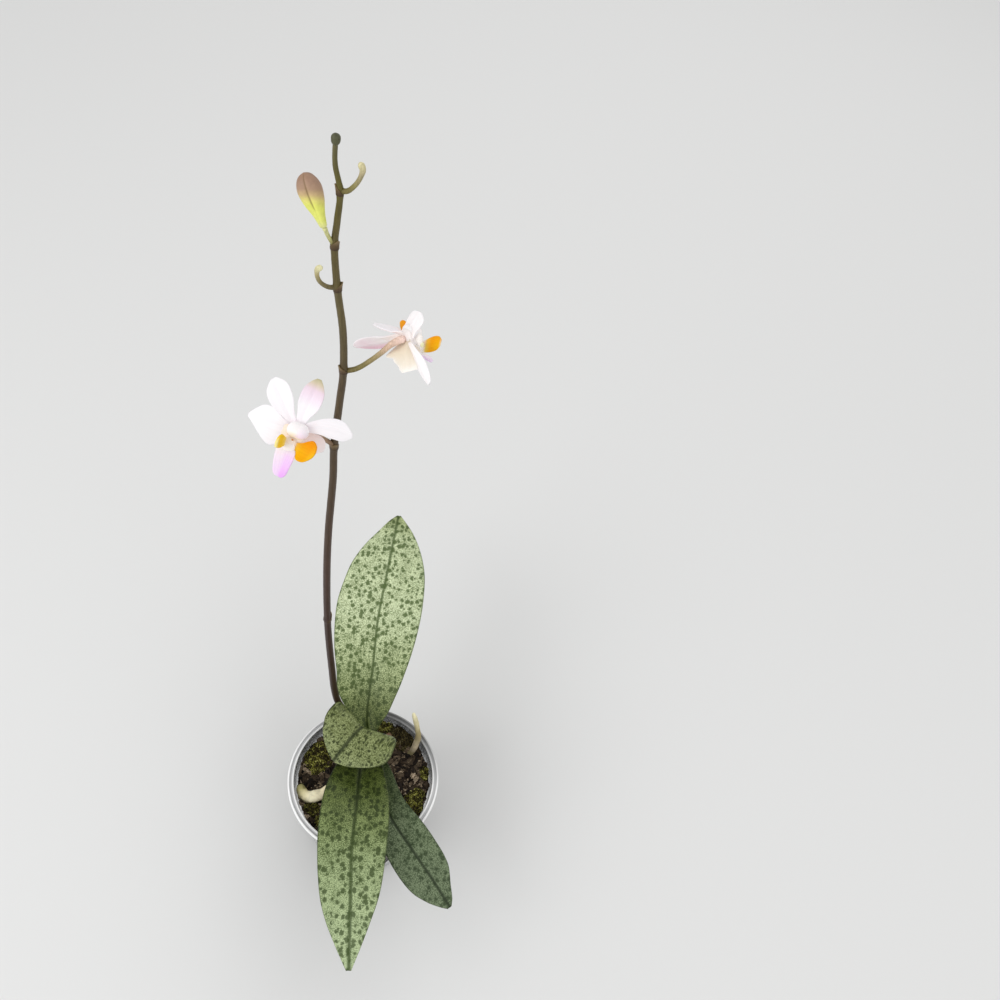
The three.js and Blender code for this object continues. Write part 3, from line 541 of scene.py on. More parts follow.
# What each leaf looks like. silverAlong is how much pale grain it has along its length, shadeAlong how
# much light is left there, blotGap the distance of its dark blots and blotSize their share of that.
leafLooks = {
    "leaf_back": {
        "ground": (104, 121, 76), "silver": (214, 226, 185), "blot": (84, 102, 58), "rib": (74, 93, 48),
        "silverAlong": [(0, 0.3), (0.12, 0.35), (0.28, 0.45), (0.45, 0.62), (1, 0.58)],
        "blotGap": 3.2, "blotSize": (0.06, 0.5), "blotStrength": 0.92, "grain": 1.35, "ribWidth": 0.95,
        "shadeAlong": [(0, 0.32), (0.12, 0.5), (0.28, 0.82), (0.5, 1), (0.88, 0.95), (1, 0.6)],
    },
    "leaf_front": {
        "ground": (80, 98, 54), "silver": (190, 207, 166), "blot": (66, 83, 44), "rib": (64, 82, 40),
        "silverAlong": [(0, 0.4), (0.3, 0.45), (0.5, 0.5), (0.75, 0.65), (1, 0.75)],
        "blotGap": 3.4, "blotSize": (0.08, 0.48), "blotStrength": 0.85, "grain": 1.6, "ribWidth": 1.15,
        "shadeAlong": [(0, 0.12), (0.1, 0.16), (0.2, 0.26), (0.3, 0.36), (0.42, 0.55), (0.6, 0.8),
                       (1, 0.92)],
    },
    # leaf_front_right is an older, less silvery leaf; its darker colours also carry painted shade from the
    # leaf above it.
    "leaf_front_right": {
        "ground": (56, 72, 44), "silver": (124, 139, 109), "blot": (44, 60, 32), "rib": (32, 45, 22),
        "silverAlong": [(0, 0.4), (0.4, 0.5), (0.8, 0.6), (1, 0.5)],
        "blotGap": 3.4, "blotSize": (0.06, 0.4), "blotStrength": 0.8, "grain": 1.3, "ribWidth": 0.95,
        "shadeAlong": [(0, 0.45), (0.3, 0.72), (0.5, 0.92), (1, 0.96)],
    },
    "leaf_young": {
        "ground": (88, 98, 54), "silver": (158, 168, 120), "blot": (48, 57, 20), "rib": (38, 48, 18),
        "silverAlong": [(0, 0.4), (0.5, 0.45), (1, 0.5)],
        "blotGap": 2.2, "blotSize": (0.05, 0.44), "blotStrength": 0.9, "grain": 1.3, "ribWidth": 1.4,
        "shadeAlong": [(0, 0.5), (0.4, 0.8), (0.7, 0.9), (1, 0.92)],
    },
}


# What all leaves share. fineGrain is the finer noise's scale over the coarse one's, a pair is the range
# in which a change takes place, and the shares say how much a noise or a colour counts.
leafSkin = {
    "fineGrain": 2.2, "fineShare": 0.35, "cloudScale": 0.14, "cloudShare": 0.22, "silverShare": 0.2,
    "speckle": (0.41, 0.6), "wobbleScale": 0.7, "wobble": 2.6, "ragged": 0.9, "blotEdge": (-0.06, 0.1),
    "ribShare": 0.85, "margin": (0.955, 0.99), "edgeShadeShare": 0.6, "shadeTint": (1.06, 1, 1.72),
    "underside": (104, 116, 84), "flush": (104, 84, 84), "roughness": (0.36, 0.5), "shine": 0.22,
}


def leafSurface(leaf):
    across = np.array(leaf["side"], float)

    def pointAt(t, s):
        centre, forward, _ = pathAt(leaf["spine"], t)
        side = across - forward * (forward @ across)[..., None]
        side /= np.linalg.norm(side, axis=-1, keepdims=True)
        up = np.cross(side, forward)
        reach = reachAt(leaf["left"], leaf["right"], t, s)
        phase = np.where(s < 0, 0.15, 0.6)
        ripple = leaf["wave"] * s * s * np.sin(2 * math.pi * (leafBuild["ripples"] * t + phase))
        slope = smoothAt(leaf["fold"], t) - leaf["tilt"] * np.sign(s)
        crown = -leafBuild["crown"] * np.abs(reach) * np.abs(s)
        unevenness = leafBuild["unevenness"] * relief(3, 0.16 * reach, 9 * t) * np.clip(4 * t, 0, 1)
        lift = np.abs(reach) * slope + ripple + crown + unevenness
        return centre + side * reach[..., None] + up * lift[..., None]
    return pointAt


# Above the midrib lies a groove, and below it a keel.
def leafThickness(leaf):
    mid, edge = leafBuild["midThickness"], leafBuild["edgeThickness"]

    def thickAt(t, s):
        reach = reachAt(leaf["left"], leaf["right"], t, s)
        half = 0.5 * (mid + (edge - mid) * np.abs(s))
        inRib = np.exp(-(reach / leafBuild["grooveWidth"]) ** 2) * np.clip(1.15 - t, 0, 1)
        return half - leafBuild["grooveDepth"] * inRib, half + leafBuild["keelHeight"] * inRib
    return thickAt


def leafFinish(name, look):
    finish, tree, shader = newFinish(name)
    sheet = attributeOf(tree, "sheet")
    share = partsOf(tree, attributeOf(tree, "share"))
    spot = partsOf(tree, sheet)
    # pale grain on the green, denser where the leaf is silvery
    coarse = noiseOf(tree, sheet, look["grain"], 3, 0.6)
    fine = noiseOf(tree, sheet, leafSkin["fineGrain"] * look["grain"], 2, 0.6)
    grain = mixedValue(tree, leafSkin["fineShare"], coarse, fine)
    cloud = noiseOf(tree, sheet, leafSkin["cloudScale"], 3, 0.6)
    level = swayed(tree, grain, cloud, leafSkin["cloudShare"])
    level = swayed(tree, level, greyRamp(tree, share["Y"], look["silverAlong"]), leafSkin["silverShare"])
    speckle = ranged(tree, level, *leafSkin["speckle"])
    colour = mixed(tree, speckle, srgb(*look["ground"]), srgb(*look["silver"]))
    # dark blots of uneven size and edge
    wobble = addNode(
        tree, "ShaderNodeTexNoise", {"Vector": sheet, "Scale": leafSkin["wobbleScale"], "Detail": 3.0},
    )
    push = stretched(tree, wobble.outputs["Color"], (leafSkin["wobble"], leafSkin["wobble"], 0))
    bent = stretched(tree, vectorMaths(tree, "ADD", sheet, push), (1.05, 0.95, 0))
    cells = addNode(
        tree, "ShaderNodeTexVoronoi", {"Vector": bent, "Scale": 1 / look["blotGap"], "Randomness": 0.95},
        voronoi_dimensions="2D",
    ).outputs
    chance = addNode(tree, "ShaderNodeSeparateColor", {"Color": cells["Color"]}).outputs["Red"]
    size = ranged(tree, chance, 0.1, 1, *look["blotSize"], smooth=False)
    inBlot = swayed(tree, maths(tree, "SUBTRACT", size, cells["Distance"]), grain, leafSkin["ragged"])
    blotShare = ranged(tree, inBlot, *leafSkin["blotEdge"], 0.0, look["blotStrength"])
    colour = mixed(tree, blotShare, colour, srgb(*look["blot"]))
    # midrib, painted shade on the rounded margin, painted shade along the leaf
    fromRib = maths(tree, "ABSOLUTE", spot["X"])
    inRib = ranged(tree, fromRib, look["ribWidth"] * 1.5, look["ribWidth"] * 0.35)
    # painted shade on the leaf's rounded margin, darkened towards the rib colour
    paintedEdgeShade = ranged(tree, maths(tree, "ABSOLUTE", share["X"]), *leafSkin["margin"])
    for part, amount in ((inRib, leafSkin["ribShare"]), (paintedEdgeShade, leafSkin["edgeShadeShare"])):
        colour = mixed(tree, maths(tree, "MULTIPLY", part, amount), colour, srgb(*look["rib"]))
    shades = [(t, tuple(a ** power for power in leafSkin["shadeTint"])) for t, a in look["shadeAlong"]]
    colour = mixed(tree, 1.0, colour, rampOf(tree, share["Y"], shades), "MULTIPLY")
    # dull underside with a purple flush
    flush = ranged(tree, noiseOf(tree, sheet, 0.3, 4, 0.6), 0.35, 0.7)
    underside = mixed(tree, flush, srgb(*leafSkin["underside"]), srgb(*leafSkin["flush"]))
    colour = mixed(tree, ranged(tree, spot["Z"], 0.4, 0.9), colour, underside)
    setInputs(tree, shader, {
        "Base Color": colour, "Roughness": ranged(tree, cloud, 0.3, 0.7, *leafSkin["roughness"]),
        "Specular IOR Level": leafSkin["shine"],
    })
    lines = noiseOf(tree, stretched(tree, sheet, (1.1, 0.05, 1)), 1.0, 3, 0.6)
    bumpInto(tree, shader, maths(tree, "MULTIPLY_ADD", grain, 0.5, lines), 0.35, 0.0003)
    return finish


def makeLeaves():
    for node, leaf in leafShapes.items():
        finish = leafFinish(node.replace("_", "") + "Skin", leafLooks[node])
        blade = bladeBody(leafSurface(leaf), leafThickness(leaf), leafBuild["along"], leafBuild["across"])
        slotName = "dark_leaf" if node == "leaf_front_right" else "leaf"
        addPiece(node + "_blade", [blade], [finish], slotName, node)
    print("leaves made")


makeLeaves()


# Geometry node trees

def newGeometryTree(name, sockets):
    tree = bpy.data.node_groups.new(name, "GeometryNodeTree")
    tree.interface.new_socket(name="Geometry", in_out="INPUT", socket_type="NodeSocketGeometry")
    tree.interface.new_socket(name="Geometry", in_out="OUTPUT", socket_type="NodeSocketGeometry")
    for label, kind in sockets.items():
        tree.interface.new_socket(name=label, in_out="INPUT", socket_type="NodeSocket" + kind)
    return tree, addNode(tree, "NodeGroupInput").outputs


def endTree(tree, geometry, finish):
    real = addNode(tree, "GeometryNodeRealizeInstances", {"Geometry": geometry})
    coloured = addNode(tree, "GeometryNodeSetMaterial", {"Geometry": real.outputs[0], "Material": finish})
    addNode(tree, "NodeGroupOutput", {"Geometry": coloured.outputs[0]})


def namedValue(tree, name):
    node = addNode(tree, "GeometryNodeInputNamedAttribute", {"Name": name}, data_type="FLOAT")
    return node.outputs["Attribute"]


# Runs a tree on the object and leaves its result as the object's plain mesh.
def growWith(source, tree, values):
    modifier = source.modifiers.new("grow", "NODES")
    modifier.node_group = tree
    for item in tree.interface.items_tree:
        if item.in_out == "INPUT" and item.name in values:
            modifier[item.identifier] = values[item.name]
    ready = source.evaluated_get(bpy.context.evaluated_depsgraph_get())
    mesh = bpy.data.meshes.new_from_object(ready)
    source.modifiers.remove(modifier)
    source.data = mesh
    mesh.name = source.name
    return source


# Round rods along strands of points, as thick as their "girth"
def makeRodTree():
    tree, given = newGeometryTree("rodAlongStrands", {
        "Sides": "Int", "Relief": "Float", "Relief scale": "Float", "Finish": "Material",
    })
    strand = addNode(tree, "GeometryNodeMeshToCurve", {"Mesh": given["Geometry"]})
    ring = addNode(tree, "GeometryNodeCurvePrimitiveCircle", {"Resolution": given["Sides"], "Radius": 1.0})
    rod = addNode(tree, "GeometryNodeCurveToMesh", {
        "Curve": strand.outputs[0], "Profile Curve": ring.outputs["Curve"],
        "Scale": namedValue(tree, "girth"), "Fill Caps": True,
    })
    noise = addNode(tree, "ShaderNodeTexNoise", {
        "Vector": addNode(tree, "GeometryNodeInputPosition").outputs[0], "Scale": given["Relief scale"],
        "Detail": 3.0,
    })
    push = maths(tree, "MULTIPLY", maths(tree, "SUBTRACT", noise.outputs["Fac"], 0.5), given["Relief"])
    out = addNode(tree, "ShaderNodeVectorMath", {
        0: addNode(tree, "GeometryNodeInputNormal").outputs[0], "Scale": push,
    }, operation="SCALE")
    moved = addNode(tree, "GeometryNodeSetPosition", {"Geometry": rod.outputs[0], "Offset": out.outputs[0]})
    smooth = addNode(tree, "GeometryNodeSetShadeSmooth", {"Geometry": moved.outputs[0]})
    endTree(tree, smooth.outputs[0], given["Finish"])
    return tree


# Chips, shoots and the like strewn on a surface, each with a random "tone"
def makeScatterTree():
    tree, given = newGeometryTree("strewnOnSurface", {
        "Shapes": "Collection", "Density": "Float", "Seed": "Int", "Smallest": "Float", "Largest": "Float",
        "Tilt": "Float", "Finish": "Material",
    })
    spots = addNode(tree, "GeometryNodeDistributePointsOnFaces", {
        "Mesh": given["Geometry"], "Density": given["Density"], "Seed": given["Seed"],
    })
    shapes = addNode(tree, "GeometryNodeCollectionInfo", {
        "Collection": given["Shapes"], "Separate Children": True, "Reset Children": True,
    })
    low, high = maths(tree, "MULTIPLY", given["Tilt"], -1.0), given["Tilt"]
    lowTurn = addNode(tree, "ShaderNodeCombineXYZ", {0: low, 1: low, 2: -math.pi})
    highTurn = addNode(tree, "ShaderNodeCombineXYZ", {0: high, 1: high, 2: math.pi})
    turn = addNode(tree, "FunctionNodeRandomValue", {
        0: lowTurn.outputs[0], 1: highTurn.outputs[0], "Seed": 3,
    }, data_type="FLOAT_VECTOR")
    euler = addNode(tree, "FunctionNodeEulerToRotation", {0: turn.outputs[0]})
    turned = addNode(tree, "FunctionNodeRotateRotation", {
        "Rotation": spots.outputs["Rotation"], "Rotate By": euler.outputs[0],
    }, rotation_space="LOCAL")
    size = addNode(tree, "FunctionNodeRandomValue", {
        2: given["Smallest"], 3: given["Largest"], "Seed": 5,
    }, data_type="FLOAT")
    strewn = addNode(tree, "GeometryNodeInstanceOnPoints", {
        "Points": spots.outputs["Points"], "Instance": shapes.outputs[0], "Pick Instance": True,
        "Rotation": turned.outputs[0], "Scale": size.outputs[1],
    })
    chance = addNode(tree, "FunctionNodeRandomValue", {2: 0.0, 3: 1.0, "Seed": 9}, data_type="FLOAT")
    toned = addNode(tree, "GeometryNodeStoreNamedAttribute", {
        "Geometry": strewn.outputs[0], "Name": "tone", "Value": chance.outputs[1],
    }, data_type="FLOAT", domain="INSTANCE")
    endTree(tree, toned.outputs[0], given["Finish"])
    return tree


rodTree = makeRodTree()
scatterTree = makeScatterTree()


# A strand is a path with its thickness and its colours along it. Both its ends are rounded.
def strandPoints(strand):
    t = np.linspace(0, 1, strand["steps"] + 1)
    t = 0.5 * t + 0.25 * (1 - np.cos(math.pi * t))
    places, _, length = pathAt(strand["path"], t)
    girth = smoothAt(strand["girth"], t)
    for swell in strand.get("swells", []):
        gap = np.linalg.norm(places - np.array(swell["place"]), axis=1)
        girth = girth + swell["by"] * np.exp(-(gap / swell["reach"]) ** 2)
    for fromEnd in (t * length, (1 - t) * length):
        share = np.clip(fromEnd / np.maximum(girth, 0.1), 0, 1)
        girth = girth * np.sqrt(np.clip(1 - (1 - share) ** 2, 0.01, 1))
    return places, girth, colourAt(strand["tints"], t)


def addRods(name, strands, finish, slotName, node, sides, bumpHeight, bumpScale):
    places, girths, tints, edges = [], [], [], []
    for strand in strands:
        place, girth, tint = strandPoints(strand)
        start = sum(len(p) for p in places)
        edges += [(start + k, start + k + 1) for k in range(len(place) - 1)]
        places.append(place)
        girths.append(girth)
        tints.append(tint)
    mesh = bpy.data.meshes.new(name)
    mesh.from_pydata((np.vstack(places) * mm).tolist(), edges, [])
    mesh.attributes.new("girth", "FLOAT", "POINT").data.foreach_set("value", np.concatenate(girths) * mm)
    layer = mesh.attributes.new("tint", "FLOAT_VECTOR", "POINT")
    layer.data.foreach_set("vector", np.vstack(tints).astype(np.float32).ravel())
    piece = bpy.data.objects.new(name, mesh)
    scene.collection.objects.link(piece)
    growWith(piece, rodTree, {
        "Sides": sides, "Relief": bumpHeight * mm, "Relief scale": bumpScale, "Finish": finish,
    })
    return finishPiece(piece, slotName, node)


# Pot

pot = {
    "height": 82, "rimRadius": 45, "rimWidth": 3.7, "rimDrop": 3.2, "wall": 1.0, "floor": 1.4,
    "footRadius": 32.5, "footRound": 1.6, "lipRound": 0.8, "outerBead": 0.75, "innerBead": 0.6,
    "sides": 144, "drainRadius": 3.6, "drainDepth": 8, "drainCount": 8, "drainRing": 21,
}
# The wall is clear up to the height "from"; above "to", in the band under the rim, it turns grey and less
# see-through as painted shade.
wallLook = {
    "clear": (176, 182, 180), "underRimShade": (112, 114, 116), "opacity": (0.09, 0.72), "from": 68, "to": 75,
}
# Two white beads with a greyer groove between them, from the inside out. "around" starts at -X, and
# says how bright the rim is. It looks see-through and dim at the back right, and that dimness is painted
# shade.
whiteBead, greyGroove = (250, 251, 251), (196, 197, 198)
rimLook = {
    "across": [(0, (150, 152, 153)), (0.03, whiteBead), (0.2, whiteBead), (0.32, greyGroove),
               (0.68, greyGroove), (0.8, whiteBead), (1, whiteBead)],
    "around": [(0, 1), (0.5, 1), (0.56, 0.7), (0.62, 0.4), (0.7, 0.3), (0.78, 0.3), (0.86, 0.8), (1, 1)],
}


def insideRadius(z):
    up = (z - pot["floor"]) / (pot["height"] - pot["floor"])
    return (pot["footRadius"] - pot["wall"]) * (1 - up) + (pot["rimRadius"] - pot["rimWidth"]) * up


def wallFinish():
    finish, tree, shader = newFinish("clearWall")
    point = objectPoint(tree)
    haze = noiseOf(tree, point, 0.12, 4, 0.6)
    # painted shade: grey and less see-through in the band under the rim
    underRimShade = ranged(tree, partsOf(tree, point)["Z"], wallLook["from"], wallLook["to"])
    opacity = ranged(tree, underRimShade, 0, 1, *wallLook["opacity"], smooth=False)
    setInputs(tree, shader, {
        "Base Color": mixed(tree, underRimShade, srgb(*wallLook["clear"]), srgb(*wallLook["underRimShade"])),
        "Alpha": maths(tree, "MULTIPLY", opacity, ranged(tree, haze, 0.3, 0.7, 0.85, 1.15)),
        "Roughness": ranged(tree, haze, 0.3, 0.7, 0.16, 0.28), "IOR": 1.5,
    })
    bumpInto(tree, shader, noiseOf(tree, point, 0.5, 3, 0.5), 0.08, 0.0002)
    return finish


def rimFinish():
    finish, tree, shader = newFinish("whiteRim")
    spot = partsOf(tree, objectPoint(tree))
    squareY = maths(tree, "MULTIPLY", spot["Y"], spot["Y"])
    radius = maths(tree, "SQRT", maths(tree, "MULTIPLY_ADD", spot["X"], spot["X"], squareY))
    share = ranged(tree, radius, pot["rimRadius"] - pot["rimWidth"], pot["rimRadius"], smooth=False)
    # painted shade darkens the rim towards the back right
    turn = maths(tree, "ARCTAN2", spot["Y"], spot["X"])
    paintedRimShade = greyRamp(tree, ranged(tree, turn, -math.pi, math.pi, smooth=False), rimLook["around"])
    colour = mixed(tree, 1.0, colourRamp(tree, share, rimLook["across"]), paintedRimShade, "MULTIPLY")
    setInputs(tree, shader, {"Base Color": colour, "Roughness": 0.35})
    return finish


def arc(centre, radius, start, end, steps):
    angles = np.radians(np.linspace(start, end, steps + 1))
    return [(centre[0] + radius * math.cos(a), centre[1] + radius * math.sin(a)) for a in angles]


# The pot's (radius, height) corners from the middle of its underside over the rim to its floor
def potProfile():
    top, outer, wall, floor = pot["height"], pot["rimRadius"], pot["wall"], pot["floor"]
    inner = outer - pot["rimWidth"]
    neck = inner + wall
    lip = top - pot["rimDrop"]
    foot, footRound, lipRound = pot["footRadius"], pot["footRound"], pot["lipRound"]
    outerBead, innerBead = pot["outerBead"], pot["innerBead"]
    return [
        (2, 0), (foot - footRound, 0), *arc((foot - footRound, footRound), footRound, -80, 0, 5),
        (neck - 0.6, lip - 6), (neck, lip - 0.6), (neck + 0.5, lip), (outer - lipRound, lip),
        *arc((outer - lipRound, lip + lipRound), lipRound, -60, 0, 4),
        *arc((outer - outerBead, top - outerBead), outerBead, 10, 150, 8),
        (outer - 1.7, top - 0.75), (inner + 1.45, top - 0.7),
        *arc((inner + innerBead, top - 0.62), innerBead, 30, 180, 8),
        (inner - 0.02, top - 3), (insideRadius(top - 14), top - 14),
        (foot - wall, floor + 0.9), (foot - wall - 1, floor), (2, floor),
    ]


# A closed body turned round the z axis from a profile
def latheBody(profile, sides):
    turn = 2 * math.pi * np.arange(sides) / sides
    rings = [np.stack([r * np.cos(turn), r * np.sin(turn), 0 * turn + z], axis=-1) for r, z in profile]
    points = np.vstack(rings)
    last = (len(profile) - 1) * sides
    faces = []
    for low in range(0, last, sides):
        for k in range(sides):
            a, b = low + k, low + (k + 1) % sides
            faces.append([a, b, b + sides, a + sides])
    faces.append(list(range(sides))[::-1])
    faces.append(list(range(last, last + sides)))
    values = {key: np.zeros((len(points), 3)) for key in ("sheet", "share", "tint")}
    return {"points": points, "faces": turnedOut(points, faces), "values": values}


# Cuts a ring of drain holes through the pot's floor
def cutDrains(piece):
    cutters = bmesh.new()
    for k in range(pot["drainCount"]):
        turn = 2 * math.pi * k / pot["drainCount"]
        place = Matrix.Translation(Vector((math.cos(turn), math.sin(turn), 0)) * pot["drainRing"] * mm)
        bmesh.ops.create_cone(
            cutters, cap_ends=True, segments=28, radius1=pot["drainRadius"] * mm,
            radius2=pot["drainRadius"] * mm, depth=pot["drainDepth"] * mm, matrix=place,
        )
    tool = bpy.data.objects.new("drainCutter", bpy.data.meshes.new("drainCutter"))
    cutters.to_mesh(tool.data)
    cutters.free()
    scene.collection.objects.link(tool)
    holes = piece.modifiers.new("drains", "BOOLEAN")
    holes.object = tool
    holes.solver = "EXACT"
    ready = piece.evaluated_get(bpy.context.evaluated_depsgraph_get())
    cut = bpy.data.meshes.new_from_object(ready)
    piece.modifiers.remove(holes)
    piece.data = cut
    bpy.data.objects.remove(tool)


def makePot():
    mesh = fillMesh("clearPot", [latheBody(potProfile(), pot["sides"])], [wallFinish(), rimFinish()])
    rimFoot = pot["height"] - pot["rimDrop"] + 1
    rimInside = pot["rimRadius"] - pot["rimWidth"] - 0.01
    for face in mesh.polygons:
        middle = face.center / mm
        onRim = middle.z > rimFoot and Vector((middle.x, middle.y)).length > rimInside
        face.material_index = 1 if onRim else 0
    piece = bpy.data.objects.new("clearPot", mesh)
    scene.collection.objects.link(piece)
    cutDrains(piece)
    finishPiece(piece, "clear_plastic", "pot")
    print("pot made")


makePot()


# Bark

# "bank" is how far the bark rises at the wall all round, and "backBank" how much more at the angle
# "backFacing".
bark = {
    "top": 72.5, "clearance": 0.5, "relief": 1.1, "footGap": 0.3, "bank": 2.6, "backBank": 2.8,
    "backFacing": 1.2, "seed": 23, "shapeCount": 7,
}
# Chips for each square metre, their sizes in millimetres and how far they tilt, in radians
chips = {
    "bigChips": {"Density": 52000.0, "Seed": 4, "Smallest": 3, "Largest": 6.5, "Tilt": 0.6},
    "smallChips": {"Density": 420000.0, "Seed": 9, "Smallest": 1, "Largest": 3, "Tilt": 0.9},
    "sideChips": {"Density": 34000.0, "Seed": 15, "Smallest": 5, "Largest": 12, "Tilt": 0.25},
}
barkTones = [
    (0.0, (14, 8, 4)), (0.3, (36, 25, 15)), (0.5, (56, 43, 30)), (0.72, (84, 70, 53)),
    (0.92, (118, 104, 84)), (0.98, (164, 138, 106)), (1.0, (214, 196, 170)),
]


def barkFinish():
    finish, tree, shader = newFinish("dampBark")
    streak = noiseOf(tree, stretched(tree, objectPoint(tree), (0.5, 1.3, 1.6)), 1.3, 5, 0.7)
    level = swayed(tree, attributeOf(tree, "tone", "Fac"), streak, 1.3, clamp=True)
    setInputs(tree, shader, {
        "Base Color": colourRamp(tree, level, barkTones),
        "Roughness": ranged(tree, streak, 0.35, 0.65, 0.5, 0.95), "Specular IOR Level": 0.35,
    })
    bumpInto(tree, shader, streak, 0.8, 0.0008)
    return finish


# A few slabs of broken bark about 1 long on X, to be strewn
def makeChipShapes():
    shapes = bpy.data.collections.new("chipShapes")
    rng = np.random.default_rng(bark["seed"])
    for k in range(bark["shapeCount"]):
        slab = bmesh.new()
        bmesh.ops.create_cube(slab, size=1.0)
        bmesh.ops.subdivide_edges(slab, edges=slab.edges[:], cuts=1, use_grid_fill=True)
        width, depth = rng.uniform(0.4, 0.75), rng.uniform(0.2, 0.42)
        for corner in slab.verts:
            x, y, z = corner.co
            taper = 1 - 0.35 * abs(2 * x) ** 2 * rng.uniform(0.4, 1)
            corner.co = Vector((
                x * rng.uniform(0.82, 1), y * width * taper * rng.uniform(0.8, 1),
                z * depth * rng.uniform(0.65, 1),
            ))
        mesh = bpy.data.meshes.new(f"chipShape{k}")
        bmesh.ops.recalc_face_normals(slab, faces=slab.faces[:])
        slab.to_mesh(mesh)
        slab.free()
        shapes.objects.link(bpy.data.objects.new(f"chipShape{k}", mesh))
    return shapes


# Deletes the shapes once they have been strewn
def dropShapes(shapes):
    for shape in list(shapes.objects):
        bpy.data.objects.remove(shape)
    bpy.data.collections.remove(shapes)


# Strews shapes on a body's surface, and gives back the object that they make
def strew(name, body, shapes, finish, settings):
    base = bpy.data.objects.new(name, fillMesh(name, [body], []))
    scene.collection.objects.link(base)
    sizes = {key: settings[key] * mm for key in ("Smallest", "Largest")}
    return growWith(base, scatterTree, {**settings, **sizes, "Shapes": shapes, "Finish": finish})


# An object of one body whose points all have the same tone
def tonedBase(name, body, finish, tone):
    mesh = fillMesh(name, [body], [finish])
    layer = mesh.attributes.new("tone", "FLOAT", "POINT")
    layer.data.foreach_set("value", np.full(len(mesh.vertices), tone))
    base = bpy.data.objects.new(name, mesh)
    scene.collection.objects.link(base)
    return base


def joinMeshes(name, pieces):
    whole = bmesh.new()
    for piece in pieces:
        whole.from_mesh(piece.data)
    mesh = bpy.data.meshes.new(name)
    whole.to_mesh(mesh)
    whole.free()
    for finish in pieces[0].data.materials:
        mesh.materials.append(finish)
    for piece in pieces:
        bpy.data.objects.remove(piece)
    joined = bpy.data.objects.new(name, mesh)
    scene.collection.objects.link(joined)
    return joined


# Presses what lies too far out back against the inside of the pot's wall
def pressInside(mesh, gap):
    points = np.zeros(len(mesh.vertices) * 3)
    mesh.vertices.foreach_get("co", points)
    points = points.reshape(-1, 3) / mm
    radius = np.hypot(points[:, 0], points[:, 1])
    limit = insideRadius(np.clip(points[:, 2], pot["floor"], pot["height"])) - gap
    scale = np.minimum(1, limit / np.maximum(radius, 1e-6))
    points[:, :2] *= scale[:, None]
    points[:, 2] = np.maximum(points[:, 2], pot["floor"] + bark["footGap"])
    mesh.vertices.foreach_set("co", (points * mm).ravel())
    mesh.update()


# How far the surface rises at the wall: more at the back right
def bankAt(turn):
    return bark["bank"] + bark["backBank"] * np.clip(np.cos(turn - bark["backFacing"]), 0, 1) ** 2


def makeBark():
    finish = barkFinish()
    floor = pot["floor"] + bark["footGap"]
    low, high = 0.03, 0.82  # the bed's side lies between these shares of its rings
    reach = insideRadius(bark["top"]) - bark["clearance"] - 0.6

    def bedLevel(t, turn):
        top = bark["top"] - 1.5 + bankAt(turn)
        return floor + (top - floor) * np.clip((t - low) / (high - low), 0, 1)

    def bedRadius(t, turn):
        z = bedLevel(t, turn)
        rough = 0.5 + 0.5 * relief(4, 9 * np.cos(turn), 9 * np.sin(turn), 0.4 * z)
        side = insideRadius(z) - bark["clearance"] - bark["relief"] * rough
        return side * np.clip((1 - t) / (1 - high), 0, 1) * np.clip(t / low, 0, 1)

    def bedHeight(t, turn):
        inward = np.clip((1 - t) / (1 - high), 0, 1)
        bumps = relief(8, 14 * inward * np.cos(turn), 14 * inward * np.sin(turn))
        return bedLevel(t, turn) + (0.6 * bumps + bankAt(turn) * (inward ** 5 - 1)) * (t > high)

    def discRadius(t, turn):
        return reach * np.sin(math.pi * t)

    def discHeight(t, turn):
        return bark["top"] - 1.2 + bankAt(turn) * np.sin(math.pi * t) ** 5 + 0.01 * t

    def wallRadius(t, turn):
        level = floor + (bark["top"] - 3 - floor) * t
        return (insideRadius(level) - 2.2) * np.minimum(1, 9 * np.sin(math.pi * t))

    def wallHeight(t, turn):
        return floor + 1 + (bark["top"] - 4 - floor) * t + 0 * turn

    bed = ringBody(bedRadius, bedHeight, rings=60, sides=90)
    base = tonedBase("barkBed", bed, finish, tone=0.1)
    shapes = makeChipShapes()
    disc = ringBody(discRadius, discHeight, rings=24, sides=48)
    wall = ringBody(wallRadius, wallHeight, rings=40, sides=60)
    surfaces = {"bigChips": disc, "smallChips": disc, "sideChips": wall}
    strewn = [strew(name, surfaces[name], shapes, finish, chip) for name, chip in chips.items()]
    piece = joinMeshes("barkChips", [base, *strewn])
    pressInside(piece.data, gap=0.35)
    dropShapes(shapes)
    finishPiece(piece, "bark", "potting_bark")
    print("bark made,", len(piece.data.polygons), "faces")


makeBark()


# Moss

# Each patch's centre on the bark, its two half widths, how far it is turned and how high it rises
mossPatches = {
    "moss_left": {"centre": (-30, 10), "size": (9, 13), "turn": -0.25, "rise": 3.2, "seed": 5},
    "moss_right": {"centre": (32.5, -7.5), "size": (6.4, 10.5), "turn": 0.2, "rise": 3, "seed": 11},
    "moss_back": {"centre": (16, 31), "size": (10, 6), "turn": -0.55, "rise": 2.6, "seed": 17},
}
